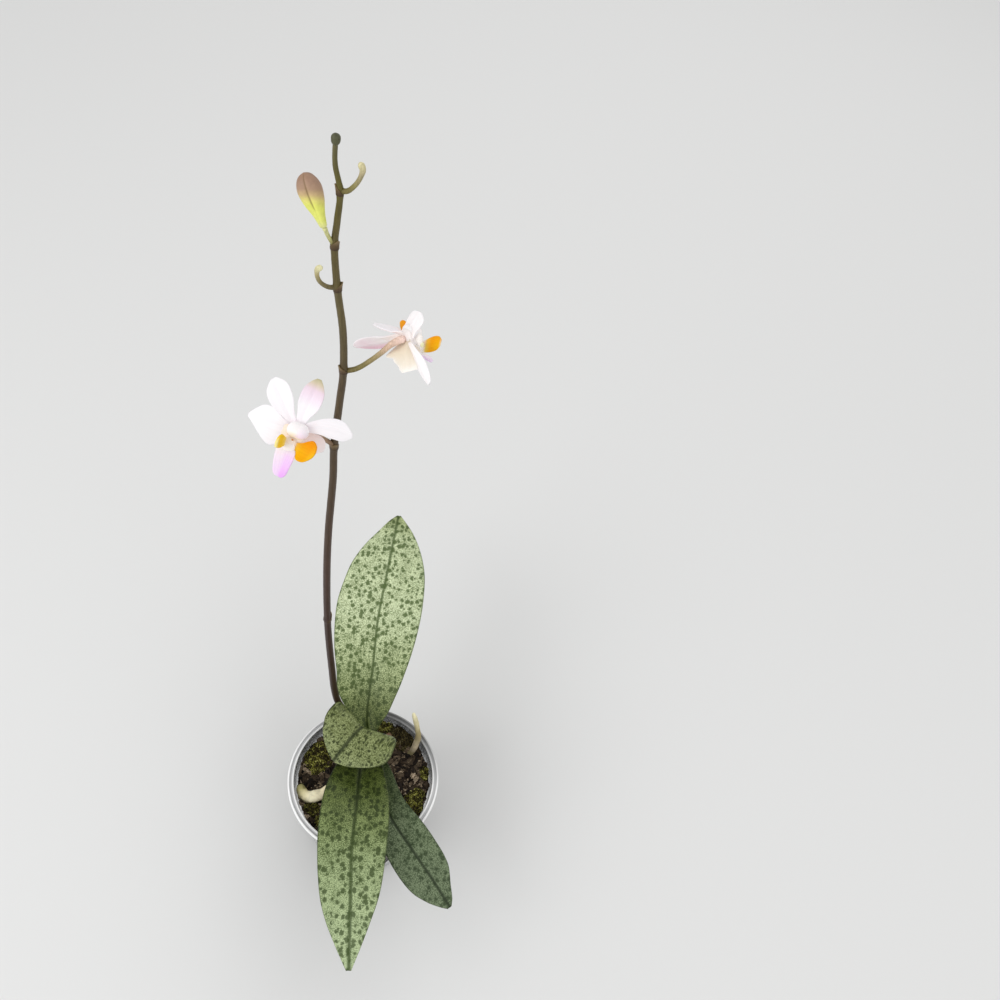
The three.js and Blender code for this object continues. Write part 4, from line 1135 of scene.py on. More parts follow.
# Small tufts between the bark chips
mossTufts = [
    {"centre": (-27, -21), "size": (4.6, 6), "turn": 0.5, "rise": 2.2, "seed": 41},
    {"centre": (-19, -28), "size": (5, 4), "turn": -0.4, "rise": 1.8, "seed": 43},
    {"centre": (-20, 26), "size": (5, 4), "turn": -0.7, "rise": 2, "seed": 47},
    {"centre": (35, 12), "size": (3, 5), "turn": 0.3, "rise": 2, "seed": 53},
    {"centre": (6, 36), "size": (6, 2.6), "turn": -0.1, "rise": 1.6, "seed": 59},
]
mossShoots = {"Density": 1500000.0, "Smallest": 1.1, "Largest": 2.3, "Tilt": 0.9}
shootBuild = {"count": 4, "leaflets": 7, "seed": 31}
greenMoss = [
    (0.0, (24, 18, 6)), (0.25, (50, 44, 15)), (0.5, (90, 88, 32)), (0.72, (138, 138, 56)),
    (1, (206, 206, 122)),
]
brownMoss = [
    (0.0, (20, 15, 5)), (0.35, (50, 42, 18)), (0.6, (76, 68, 36)), (0.85, (108, 100, 66)),
    (1, (140, 134, 98)),
]


def mossFinish(name, tones):
    finish, tree, shader = newFinish(name)
    point = objectPoint(tree)
    level = maths(tree, "MULTIPLY_ADD", attributeOf(tree, "tone", "Fac"), 0.95, 0.09)
    level = swayed(tree, level, noiseOf(tree, point, 0.3, 3, 0.6), 1.8)
    level = swayed(tree, level, noiseOf(tree, point, 1.1, 3, 0.65), 2.2, clamp=True)
    colour = colourRamp(tree, level, tones)
    setInputs(tree, shader, {"Base Color": colour, "Roughness": 0.9, "Specular IOR Level": 0.2})
    return finish


# Small shoots with pointed leaflets round a short axis, to be strewn
def makeShootShapes():
    shapes = bpy.data.collections.new("shootShapes")
    rng = np.random.default_rng(shootBuild["seed"])
    leaflet = [[0, 1, 2], [0, 3, 1], [1, 3, 2], [2, 3, 0]]
    for k in range(shootBuild["count"]):
        points, faces = [], []
        for leaf in range(shootBuild["leaflets"]):
            turn = 2.4 * leaf + rng.uniform(0, 0.5)
            lean = 1.2 - 0.13 * leaf
            c, s = math.cos(turn), math.sin(turn)
            out = np.array([c * math.sin(lean), s * math.sin(lean), math.cos(lean)])
            side = np.array([-s, c, 0]) * 0.13
            foot = np.array([0, 0, 0.12 * leaf])
            faces += [[len(points) + i for i in face] for face in leaflet]
            points += [foot - side, foot + side, foot + np.array([0, 0, 0.14])]
            points.append(foot + out * rng.uniform(0.6, 0.9))
        mesh = bpy.data.meshes.new(f"shootShape{k}")
        mesh.from_pydata(points, [], faces)
        shoot = bmesh.new()
        shoot.from_mesh(mesh)
        bmesh.ops.recalc_face_normals(shoot, faces=shoot.faces[:])
        shoot.to_mesh(mesh)
        shoot.free()
        shapes.objects.link(bpy.data.objects.new(f"shootShape{k}", mesh))
    return shapes


# A low cushion with a ragged edge, covered with shoots
def mossCushion(name, patch, finish, shapes):
    wide, tall = patch["size"]
    rimShare = 0.3  # the share of the rings that lies in the cushion's side
    nearWall = 39  # how far from the pot's axis the bark has risen in full

    def cushionRadius(t, turn):
        ragged = 0.88 + 0.3 * relief(patch["seed"], 4 * np.cos(turn), 4 * np.sin(turn))
        spread = np.clip(t / 0.04, 0, 1) * np.clip((1 - t) / 0.7, 0, 1) ** 0.8
        return spread * np.hypot(wide * np.cos(turn), tall * np.sin(turn)) * ragged

    def cushionHeight(t, turn):
        inward = np.clip((t - rimShare) / 0.7, 0, 1)
        across = 2 * wide * (1 - t)
        bumps = relief(patch["seed"] + 1, across * np.cos(turn), across * np.sin(turn))
        dome = patch["rise"] * 0.6 * np.sin(math.pi / 2 * inward) + 1.5 * bumps * np.clip(3 * inward, 0, 1)
        return bark["top"] - 2.2 + 2.2 * np.clip(t / rimShare, 0, 1) + dome

    body = ringBody(cushionRadius, cushionHeight, rings=24, sides=48)
    c, s = math.cos(patch["turn"]), math.sin(patch["turn"])
    body = placed(body, [[c, -s, 0], [s, c, 0], [0, 0, 1]], (*patch["centre"], 0))
    outward = np.hypot(body["points"][:, 0], body["points"][:, 1]) / nearWall
    facing = np.arctan2(body["points"][:, 1], body["points"][:, 0])
    body["points"][:, 2] += bankAt(facing) * np.clip(outward, 0, 1) ** 5
    base = tonedBase(name + "Base", body, finish, tone=0.2)
    settings = {**mossShoots, "Seed": patch["seed"]}
    cushion = joinMeshes(name, [base, strew(name + "Shoots", body, shapes, finish, settings)])
    pressInside(cushion.data, gap=0.3)
    return cushion


def makeMoss():
    shapes = makeShootShapes()
    green = mossFinish("greenMossSkin", greenMoss)
    brown = mossFinish("brownMossSkin", brownMoss)
    for node, patch in mossPatches.items():
        slotName, finish = ("dry_moss", brown) if node == "moss_back" else ("moss", green)
        cushion = mossCushion(node + "_cushion", patch, finish, shapes)
        finishPiece(cushion, slotName, node)
        print(node, "made,", len(cushion.data.polygons), "faces")
    tufts = [mossCushion(f"mossTuft{k}", tuft, green, shapes) for k, tuft in enumerate(mossTufts)]
    finishPiece(joinMeshes("moss_tufts", tufts), "moss")
    dropShapes(shapes)


makeMoss()


# Roots and stem

rootSkin = [
    (0, (190, 170, 130)), (0.35, (236, 220, 178)), (0.5, (255, 243, 204)), (0.72, (255, 248, 214)),
    (0.84, (226, 216, 170)), (0.93, (178, 172, 118)), (1, (140, 134, 86)),
]
palerRoot = [
    (0, (150, 134, 106)), (0.5, (190, 176, 148)), (0.68, (150, 138, 98)), (0.85, (206, 198, 158)),
    (1, (230, 224, 186)),
]
brownRoot = [(0, (110, 80, 66)), (0.5, (150, 112, 96)), (1, (120, 86, 72))]
roots = {
    "root_left": {
        "path": [(-8, 4, 70.5), (-15, -6, 75), (-24, -14, 76), (-31, -15.8, 75.8), (-35, -12.8, 76.6),
                 (-35.3, -9.8, 78.2)],
        "girth": [(0, 2.6), (0.3, 3.3), (0.45, 3.7), (0.55, 3.3), (0.68, 3.5), (0.8, 3.4), (0.93, 2.9),
                  (1, 2)],
        "tints": rootSkin, "steps": 90,
    },
    "root_back_right": {
        "path": [(17, 21, 64), (24, 24, 73), (26.4, 26.2, 80), (27.2, 29.8, 87), (24.8, 35.6, 91.2),
                 (21.6, 41.2, 94)],
        "girth": [(0, 1.9), (0.45, 2), (0.75, 1.7), (0.92, 1.45), (1, 0.8)],
        "tints": palerRoot, "steps": 70,
    },
    "root_back": {
        "path": [(3, 24.5, 68), (6.8, 28.6, 75.2), (8.8, 32, 75), (11, 34.6, 68)],
        "girth": [(0, 1.7), (0.5, 1.9), (1, 1.5)],
        "tints": brownRoot, "steps": 50,
    },
}
# Olive for the roots' lower parts: soil, and painted shade of their undersides, which light from above
# leaves dark.
soilAndShade = {"tint": (122, 116, 76), "heights": (77.4, 80.8), "share": 0.75}
stem = {
    "place": (-2, 18, 0), "foot": 58, "height": 34, "radius": 5.4, "flutes": 5, "fluteDepth": 0.02,
    "collars": [(0, 0.9), (0.3, 0.95), (0.45, 1.12), (0.47, 0.98), (0.62, 0.94), (0.72, 1.1), (0.74, 0.96),
                (0.9, 0.9), (1, 0.62)],
    "tints": [(0, (60, 44, 26)), (0.45, (96, 84, 48)), (0.7, (92, 100, 54)), (1, (104, 120, 70))],
}


# The piece's own tints with streaks; with darkBelow its lower part turns olive, as soil and as painted
# shade on the side the light does not reach
def skinFinish(name, streakScale, roughness, contrast, bump, darkBelow=False):
    finish, tree, shader = newFinish(name)
    point = objectPoint(tree)
    streak = noiseOf(tree, point, streakScale, 5, 0.65)
    shade = ranged(tree, streak, 0.3, 0.7, 1 - contrast, 1 + contrast, smooth=False)
    colour = vectorMaths(tree, "MULTIPLY", attributeOf(tree, "tint"), shade)
    if darkBelow:
        # soil and painted shade on the lower part
        height = maths(tree, "MULTIPLY_ADD", streak, 5.0, partsOf(tree, point)["Z"])
        share = ranged(tree, height, *soilAndShade["heights"], soilAndShade["share"], 0)
        colour = mixed(tree, share, colour, srgb(*soilAndShade["tint"]))
    setInputs(tree, shader, {"Base Color": colour, "Roughness": roughness, "Specular IOR Level": 0.2})
    bumpInto(tree, shader, streak, bump, 0.0004)
    return finish


def makeRoots():
    finish = skinFinish(
        "spongyRootSkin", streakScale=0.3, roughness=0.7, contrast=0.2, bump=0.8, darkBelow=True,
    )
    for node, strand in roots.items():
        addRods(
            node + "_skin", [strand], finish, "root_skin", node, sides=24, bumpHeight=1.2, bumpScale=240.0,
        )
    print("roots made")


def makeStem():
    finish = skinFinish("sheathSkin", streakScale=0.8, roughness=0.6, contrast=0.35, bump=0.5)

    def radiusAt(t, turn):
        fluted = 1 + stem["fluteDepth"] * np.cos(stem["flutes"] * turn)
        return stem["radius"] * smoothAt(stem["collars"], t) * fluted * np.clip(t / 0.03, 0, 1)

    def heightAt(t, turn):
        return stem["foot"] + stem["height"] * t + 0 * turn

    def tintAt(t, turn):
        return colourAt(stem["tints"], t)

    body = ringBody(radiusAt, heightAt, rings=60, sides=40, tintAt=tintAt)
    addPiece("stem_sheaths", [placed(body, None, stem["place"])], [finish], "stem_skin", "stem")
    print("stem made")


makeRoots()
makeStem()


# Flower spike

spikeAxis = [
    (-8.7, 21.6, 84.6), (-14, 25.6, 92), (-19.6, 29.8, 103), (-23.1, 30.2, 114), (-24.5, 28.4, 134),
    (-25, 27, 160), (-25.5, 25.4, 190), (-25.6, 24.2, 219), (-24.6, 23, 266), (-22.9, 22, 300.6),
    (-20, 21, 339.7), (-19, 20, 361.4), (-16.3, 19, 388), (-14.5, 18, 405.5), (-14.1, 16.5, 426.7),
    (-15.4, 15.1, 446), (-15.8, 14, 464.2), (-14.6, 13, 474), (-13.5, 12.5, 485.2), (-14.7, 12, 494.4),
    (-14.1, 11, 504.4),
]
spikeGirth = [(0, 2.1), (0.3, 1.8), (0.45, 1.75), (0.75, 1.4), (0.93, 1.05), (0.97, 0.8), (1, 0.75)]
spikeTints = [
    (0, (66, 48, 34)), (0.1, (50, 35, 25)), (0.3, (56, 38, 33)), (0.45, (66, 46, 36)), (0.6, (70, 54, 36)),
    (0.75, (78, 64, 42)), (0.84, (92, 82, 50)), (0.92, (90, 80, 42)), (0.965, (92, 86, 40)),
    (1, (100, 95, 66)),
]
# Where the spike's nodes are, which way their bracts face, and how long those are
spikeNodes = [
    {"place": (-25.6, 24.2, 219), "facing": 2.6, "bract": 5.4},
    {"place": (-19, 20, 361.4), "facing": 0.4, "bract": 3.6},
    {"place": (-14.3, 17.8, 407), "facing": -0.9, "bract": 3.6},
    {"place": (-15.4, 15.1, 446.5), "facing": 1.6, "bract": 3.6},
    {"place": (-15.8, 14, 464), "facing": 0.9, "bract": 3.6},
    {"place": (-13.5, 12.5, 485), "facing": -1.3, "bract": 3.6},
]
nodeSwell = {"by": 0.3, "reach": 1.9}
bractWidths = [(0, 150), (0.4, 105), (0.8, 42), (1, 5)]  # degrees to each side round the spike
bractTints = [(0, (62, 46, 30)), (0.5, (88, 70, 44)), (1, (122, 104, 74))]
stalkGirth = [(0, 1), (0.3, 0.92), (0.75, 0.98), (1, 1.15)]
hookGirth = [(0, 0.9), (0.3, 0.75), (0.7, 0.75), (0.93, 1), (1, 0.6)]
stalks = [
    {"path": [(-19, 20, 361.4), (-20.4, 17.4, 366.5), (-22.6, 14.8, 371.2), (-26.2, 12.2, 376.2),
              (-29.4, 10.6, 378.9)],
     "girth": stalkGirth, "tints": [(0, (92, 72, 50)), (0.4, (150, 122, 96)), (1, (214, 190, 174))]},
    {"path": [(-14, 18, 406.2), (-9.6, 18, 408.6), (-5.2, 18.9, 412.6), (-1.4, 20, 416.6),
              (1.6, 21.2, 420.1), (4.35, 22.8, 421.5), (6.2, 23.4, 422.1)],
     "girth": [(0, 1), (0.3, 0.92), (0.7, 1), (0.86, 1.25), (1, 1.5)],
     "tints": [(0, (96, 84, 48)), (0.3, (122, 112, 66)), (0.55, (160, 144, 104)), (0.75, (206, 176, 152)),
               (1, (236, 208, 198))]},
    {"path": [(-15.8, 14, 464.4), (-16.6, 13.2, 466.2), (-17.3, 12, 469), (-18, 10.9, 472.6)],
     "girth": [(0, 0.85), (0.4, 0.66), (0.8, 0.66), (1, 0.9)],
     "tints": [(0, (110, 98, 56)), (0.4, (178, 176, 118)), (1, (214, 214, 152))]},
    {"path": [(-15.4, 15.1, 446.6), (-18.2, 14.1, 447), (-20.3, 13.2, 449), (-21.2, 12.6, 452),
              (-20.7, 12.1, 455.3), (-19.2, 12, 456.4)],
     "girth": hookGirth,
     "tints": [(0, (84, 74, 46)), (0.4, (122, 112, 78)), (0.75, (176, 164, 118)), (1, (226, 222, 178))]},
    {"path": [(-13.5, 12.5, 485.2), (-11.4, 12.1, 485.8), (-9.2, 11.6, 488.2), (-7.4, 11.1, 491.5),
              (-6.5, 10.7, 494.9), (-7.3, 10.5, 497.2)],
     "girth": hookGirth,
     "tints": [(0, (96, 86, 44)), (0.4, (134, 126, 78)), (0.75, (172, 160, 124)), (1, (214, 206, 160))]},
]
knob = {
    "path": [(-14.4, 11.4, 500.6), (-14.2, 11.2, 502.4), (-14.1, 11, 504.4)],
    "girth": [(0, 0.7), (0.3, 1.25), (0.8, 1.35), (1, 1)], "steps": 30,
    "tints": [(0, (98, 94, 64)), (0.4, (82, 82, 56)), (1, (78, 80, 58))],
}


def spikeFinish():
    finish, tree, shader = newFinish("spikeSkin")
    point = objectPoint(tree)
    streak = noiseOf(tree, stretched(tree, point, (1.6, 1.6, 0.12)), 1.0, 4, 0.6)
    shade = ranged(tree, streak, 0.3, 0.7, 0.78, 1.22, smooth=False)
    colour = vectorMaths(tree, "MULTIPLY", attributeOf(tree, "tint"), shade)
    freckle = ranged(tree, noiseOf(tree, point, 2.4, 2, 0.5), 0.62, 0.7, 0.0, 0.4)
    colour = mixed(tree, freckle, colour, srgb(52, 34, 26))
    setInputs(tree, shader, {"Base Color": colour, "Roughness": 0.45, "Specular IOR Level": 0.25})
    bumpInto(tree, shader, streak, 0.3, 0.0002)
    return finish


# A pointed scale that clasps the spike at a node, open on one side
def bractBody(node):
    x, y, z = node["place"]
    upSpike = (z - 60) / 445  # near enough for the spike's girth at this height
    axisRadius = float(smoothAt(spikeGirth, np.array(upSpike)))

    def pointAt(t, s):
        around = node["facing"] + s * np.radians(smoothAt(bractWidths, t))
        radius = axisRadius + 0.18 + 0.35 * t ** 2
        place = [x + radius * np.sin(around), y - radius * np.cos(around), z - 1 + node["bract"] * t]
        return np.stack(place, axis=-1)

    def tintAt(t, s):
        return colourAt(bractTints, t)

    return bladeBody(pointAt, evenThickness(0.2), along=16, across=14, tintAt=tintAt)


def makeSpike():
    finish = spikeFinish()
    axis = {
        "path": spikeAxis, "girth": spikeGirth, "tints": spikeTints, "steps": 420,
        "swells": [{"place": node["place"], **nodeSwell} for node in spikeNodes],
    }
    strands = [axis, knob, *[{"steps": 44, **stalk} for stalk in stalks]]
    piece = addRods(
        "flower_spike_stems", strands, finish, "spike", "flower_spike", sides=20, bumpHeight=0.12,
        bumpScale=400.0,
    )
    addPiece("spike_bracts", [bractBody(node) for node in spikeNodes], [finish], "spike")
    print("spike made,", len(piece.data.polygons), "faces")


makeSpike()


# Blooms

# Half widths along each kind of tepal, the same on both sides or one for each
tepalShapes = {
    "sepal": {"both": [(0, 1.5), (0.25, 2.4), (0.45, 3.9), (0.6, 4.4), (0.78, 4), (0.92, 2.4), (1, 0.8)]},
    "petal": {"both": [(0, 1.3), (0.25, 2.1), (0.5, 4), (0.7, 4.6), (0.84, 4.1), (0.93, 2.7), (1, 0.9)]},
    "slim": {"both": [(0, 1.3), (0.3, 2.4), (0.5, 3.3), (0.7, 3.8), (0.84, 3.5), (0.94, 2), (1, 0.7)]},
    "round": {"both": [(0, 3.3), (0.3, 3.5), (0.55, 3.9), (0.75, 4.2), (0.9, 3.2), (1, 1)]},
    "broad": {
        "left": [(0, 2.4), (0.25, 6.6), (0.42, 8.2), (0.55, 7.4), (0.7, 5.3), (0.87, 2.6), (1, 0.7)],
        "right": [(0, 2), (0.24, 2.7), (0.48, 5.6), (0.7, 5.7), (0.87, 3.3), (1, 0.7)],
    },
    "edgeOn": {"both": [(0, 1.3), (0.25, 1.9), (0.5, 2.8), (0.7, 3.1), (0.84, 2.8), (0.93, 2.1), (1, 1)]},
    "ruffled": {
        "left": [(0, 2.8), (0.22, 6.4), (0.36, 8.7), (0.42, 8), (0.48, 5.6), (0.58, 4.9), (0.72, 4.4),
                 (0.9, 4.3), (1, 3.2)],
        "right": [(0, 2.4), (0.3, 3.5), (0.55, 3.8), (0.68, 4.3), (0.8, 4.1), (0.92, 4.5), (1, 3.6)],
    },
}
# The same for the lip's side lobes
lobeShapes = {
    "open": {
        "upper": [(0, 0.8), (0.3, 2.1), (0.52, 3.9), (0.74, 5), (0.92, 3.8), (1, 1.4)],
        "lower": [(0, 0.8), (0.25, 2), (0.5, 4.4), (0.8, 4.3), (0.93, 2.8), (1, 1.2)],
    },
    "folded": {
        "upper": [(0, 0.8), (0.3, 2.4), (0.6, 3.6), (0.85, 2.8), (1, 1.1)],
        "lower": [(0, 0.8), (0.3, 1.4), (0.6, 1.7), (0.85, 1.4), (1, 0.8)],
    },
    "round": {
        "upper": [(0, 1), (0.3, 2.6), (0.6, 3.5), (0.85, 3), (1, 1.2)],
        "lower": [(0, 1), (0.3, 2.6), (0.6, 3.5), (0.85, 3), (1, 1.2)],
    },
}
white = [(0, (240, 230, 236)), (0.4, (246, 242, 247)), (1, (247, 244, 248))]
whiteBack = [(0, (240, 222, 220)), (0.5, (244, 236, 239)), (1, (245, 241, 244))]
tippedPink = [(0, (244, 238, 243)), (0.45, (246, 242, 247)), (0.62, (242, 226, 240)),
              (0.78, (234, 212, 226)), (0.9, (214, 200, 176)), (1, (186, 180, 138))]
pinkish = [(0, (240, 216, 210)), (0.5, (244, 224, 222)), (1, (246, 234, 234))]
roseBack = [(0, (250, 236, 230)), (0.4, (254, 248, 249)), (0.75, (254, 232, 240)), (1, (254, 240, 246))]
flushedBack = [(0, (252, 240, 236)), (0.5, (254, 248, 250)), (1, (254, 250, 252))]
# The beige on these tepal backs is painted shade on back faces turned away from the light.
shadedBack = [(0, (218, 200, 178)), (0.4, (228, 214, 192)), (0.8, (238, 228, 212)), (1, (250, 246, 240))]
paleYellow = [(0, (250, 240, 214)), (0.3, (244, 212, 96)), (0.6, (240, 196, 20)), (0.85, (242, 200, 36)),
              (1, (250, 232, 150))]
golden = [(0, (246, 232, 206)), (0.2, (246, 196, 60)), (0.42, (244, 178, 6)), (0.75, (240, 166, 4)),
          (1, (246, 190, 26))]
paleThenGolden = [(0, (244, 238, 240)), (0.3, (244, 236, 226)), (0.4, (226, 190, 70)),
                  (0.6, (234, 160, 12)), (0.92, (244, 180, 14)), (1, (246, 222, 170))]
orangeTip = [(0, (244, 236, 236)), (0.4, (246, 226, 190)), (0.62, (236, 152, 24)), (0.9, (238, 158, 20)),
             (1, (240, 176, 80))]
tonguePale = [(0, (247, 242, 238)), (0.25, (246, 230, 244)), (1, (240, 208, 246))]
tongueDeep = [(0, (246, 236, 240)), (0.25, (240, 208, 246)), (1, (232, 168, 246))]
hoodTints = [(0, (250, 246, 247)), (0.6, (252, 248, 249)), (0.85, (252, 245, 243)), (1, (250, 238, 214))]
petalLooks = {
    "tepal": {"name": "tepalSkin", "veins": 0.03, "glow": 0.15, "shine": 0.3},
    "lip_lobe": {"name": "lobeSkin", "veins": 0.08, "glow": 0.05, "shine": 0.08},
    "lip_tongue": {"name": "tongueSkin", "veins": 0.06, "glow": 0.3, "shine": 0.3},
}
# In a bloom's own frame X points right, Y to its top and Z out of its face. A tepal's angle is taken
# clockwise from the top, "lift" and "bend" raise it along its length, "twist" turns it about that,
# "bow" curves it sideways, and "flush" is how pink its back gets towards the margin its sign picks. "run"
# leads from the lip's root to a side lobe's end, and "warmth" is how orange that lobe's upper edge is.
# "throat" lists the soft lumps between the column and the lip.
blooms = {
    "bloom_lower": {
        "centre": (-29.8, 8.6, 380.6), "front": (0, -0.78, 0.63), "top": (0.24, 0.766, 0.597),
        "tepals": [
            {"angle": 0, "length": 19.4, "shape": "sepal", "lift": 0.05, "bend": -0.012, "twist": 0.1,
             "bow": 0.4, "face": tippedPink, "back": whiteBack},
            {"angle": -49, "length": 19.9, "shape": "petal", "lift": 0.11, "bend": -0.012, "twist": -0.1,
             "bow": 0, "face": white, "back": whiteBack},
            {"angle": 73, "length": 19.7, "shape": "slim", "lift": 0.08, "bend": -0.01, "twist": 0.2,
             "bow": -2.4, "face": white, "back": whiteBack},
            {"angle": -98.7, "length": 18.6, "shape": "broad", "lift": 0.1, "bend": -0.012, "twist": 0,
             "bow": 0, "face": white, "back": whiteBack},
            {"angle": 118, "length": 11.5, "shape": "sepal", "lift": -0.5, "bend": -0.02, "twist": 0,
             "bow": 0, "face": pinkish, "back": shadedBack},
        ],
        "lobes": [
            {"hand": 1, "run": (8.9, 0.1, 2.9), "shape": "open", "tints": golden, "warmth": 0.42},
            {"hand": -1, "run": (-1.6, -0.6, 8.5), "shape": "folded", "tints": paleYellow, "warmth": 0},
        ],
        "tongueTip": (1.2, -17.2, 6.6),
        "tongueWidths": [(0, 3.2), (0.12, 3.7), (0.3, 3.7), (0.55, 3.3), (0.8, 2.8), (0.93, 2.2), (1, 1.3)],
        "column": {"size": (4.1, 2.5, 3.4), "lean": 0.5, "place": (1, 0.6, 3.3)},
        "throat": [
            {"size": (2.7, 1.8, 1.9), "tint": (250, 236, 226), "place": (0, -4.4, 3.8)},
            {"size": (2.6, 2, 1.1), "tint": (240, 222, 216), "place": (0.3, -3.3, 3.2)},
            {"size": (2.8, 2.3, 0.9), "tint": (249, 242, 240), "place": (0, -5.9, 4.9)},
            {"size": (1.3, 2.6, 0.8), "tint": (250, 232, 214), "place": (-3, -1.1, 3.1)},
            {"size": (2, 1.7, 0.8), "tint": (250, 242, 236), "place": (2.6, -2.2, 3.1)},
            {"size": (0.55, 0.45, 0.4), "tint": (196, 120, 60), "place": (-0.5, -3.6, 5)},
            {"size": (0.35, 0.45, 0.3), "tint": (206, 140, 84), "place": (0.7, -3, 4.9)},
        ],
    },
    "bloom_upper": {
        "centre": (6.1, 24.3, 421.8), "front": (0.672, 0.725, -0.145), "top": (-0.046, 0.236, 0.969),
        "tepals": [
            {"angle": 3.9, "length": 7.2, "shape": "round", "lift": 0.62, "bend": 0.02, "twist": 0.1,
             "bow": 0, "face": white, "back": flushedBack},
            {"angle": 88.4, "length": 12, "shape": "petal", "lift": -0.16, "bend": -0.01, "twist": 1.25,
             "bow": 0, "face": white, "back": flushedBack, "flush": -0.6},
            {"angle": 119.1, "length": 19.5, "shape": "sepal", "lift": -0.36, "bend": -0.004, "twist": 0.9,
             "bow": 0, "face": white, "back": roseBack, "flush": 1},
            {"angle": -148.6, "length": 10.9, "shape": "ruffled", "lift": -0.16, "bend": -0.006,
             "twist": 0.8, "bow": 0, "face": white, "back": shadedBack},
            {"angle": -124.5, "length": 17.9, "shape": "edgeOn", "lift": 0.03, "bend": -0.004,
             "twist": -0.05, "bow": 0, "face": white, "back": flushedBack},
        ],
        "lobes": [
            {"hand": 1, "run": (8.1, 3.6, 1.4), "shape": "folded", "tints": orangeTip, "warmth": 0},
            {"hand": -1, "run": (-6.9, 3.8, 5.4), "shape": "round", "tints": paleThenGolden, "warmth": 0.2},
        ],
        "tongueTip": (-1.4, -11.2, 9.3),
        "tongueWidths": [(0, 2.8), (0.12, 3.4), (0.35, 3.6), (0.7, 3.2), (0.9, 2.6), (0.97, 2), (1, 1.2)],
        "column": {"size": (3.3, 2.5, 3.4), "lean": 0.4, "place": (0.7, 1, 3.2)},
        "throat": [
            {"size": (2.8, 2, 2.2), "tint": (254, 250, 248), "place": (0, -4.4, 3.8)},
            {"size": (2.8, 3.4, 2.2), "tint": (254, 250, 248), "place": (-0.6, -2.6, 2.4)},
            {"size": (2.7, 3, 1.8), "tint": (254, 248, 252), "place": (0, -6.3, 5.1)},
            {"size": (2.2, 3.4, 1.7), "tint": (254, 249, 244), "place": (-2.3, -1.6, 3.6)},
            {"size": (2, 1.7, 0.8), "tint": (254, 249, 244), "place": (2.6, -2.2, 3.1)},
            {"size": (0.5, 1, 0.8), "tint": (240, 240, 196), "place": (-4.4, -1.9, 3.8)},
        ],
    },
}
bloomCore = {"size": (3.1, 3.1, 1.1), "tint": (248, 238, 236), "place": (0, 0, 0.4)}
tepalBuild = {"midThickness": 0.85, "edgeThickness": 0.62, "foot": 0.6, "cup": 0.09, "crease": 0.3}
lipRoot = np.array([0, -4.6, 3.6])


def petalFinish(look):
    finish, tree, shader = newFinish(look["name"])
    share = partsOf(tree, attributeOf(tree, "share"))
    along = {0: maths(tree, "MULTIPLY", share["X"], 9.0), 1: maths(tree, "MULTIPLY", share["Y"], 1.2)}
    vein = noiseOf(tree, addNode(tree, "ShaderNodeCombineXYZ", along).outputs[0], 1.0, 3, 0.55)
    shade = ranged(tree, vein, 0.35, 0.65, 1 - look["veins"], 1.0)
    setInputs(tree, shader, {
        "Base Color": vectorMaths(tree, "MULTIPLY", attributeOf(tree, "tint"), shade), "Roughness": 0.5,
        "Specular IOR Level": look["shine"], "Subsurface Weight": look["glow"],
        "Subsurface Radius": (1.0, 0.85, 0.85), "Subsurface Scale": 0.003,
    })
    bumpInto(tree, shader, vein, 0.25, 0.0002)
    return finish


def tepalBody(tepal):
    turn = math.radians(tepal["angle"])
    outward = np.array([math.sin(turn), math.cos(turn), 0])
    across = np.array([math.cos(turn), -math.sin(turn), 0])
    widths = tepalShapes[tepal["shape"]]
    left = widths.get("both") or widths["left"]
    right = widths.get("both") or widths["right"]
    ruffle = 0.9 if tepal["shape"] == "ruffled" else 0.2
    mid, edge = tepalBuild["midThickness"], tepalBuild["edgeThickness"]

    def pointAt(t, s):
        r = tepalBuild["foot"] + tepal["length"] * t
        reach = reachAt(left, right, t, s)
        opened = np.clip(t / 0.35, 0, 1)
        roll = tepal["twist"] * opened ** 2 * (3 - 2 * opened)
        cup = tepalBuild["cup"] * np.abs(reach) * np.abs(s)
        wave = ruffle * s * s * np.sin(9 * t + 1.3 * tepal["angle"] + 2 * s) * np.clip(3 * t, 0, 1)
        awayFromEnds = np.clip(4 * t, 0, 1) * np.clip(4 - 4 * t, 0, 1)
        crease = -tepalBuild["crease"] * np.exp(-(reach / 0.7) ** 2) * awayFromEnds
        height = tepal["lift"] * r + tepal["bend"] * r * r + reach * np.sin(roll) + cup + wave + crease
        sideways = reach * np.cos(roll) + 4 * tepal["bow"] * t * (1 - t)
        flat = outward * r[..., None] + across * sideways[..., None]
        return flat + np.array([0, 0, 1]) * height[..., None]

    def thickAt(t, s):
        half = 0.5 * (mid + (edge - mid) * np.abs(s)) * (1 - 0.25 * t)
        return half, half

    def tintAt(t, s):
        flush = np.clip(tepal.get("flush", 0) * s, 0, 1) * np.clip(3 * t - 0.4, 0, 1)
        back = towards(colourAt(tepal["back"], t), srgb(242, 178, 200), flush)
        return colourAt(tepal["face"], t), towards(back, srgb(246, 244, 245), 0.6 * np.abs(s) ** 6)

    return bladeBody(pointAt, thickAt, along=44, across=26, tintAt=tintAt)


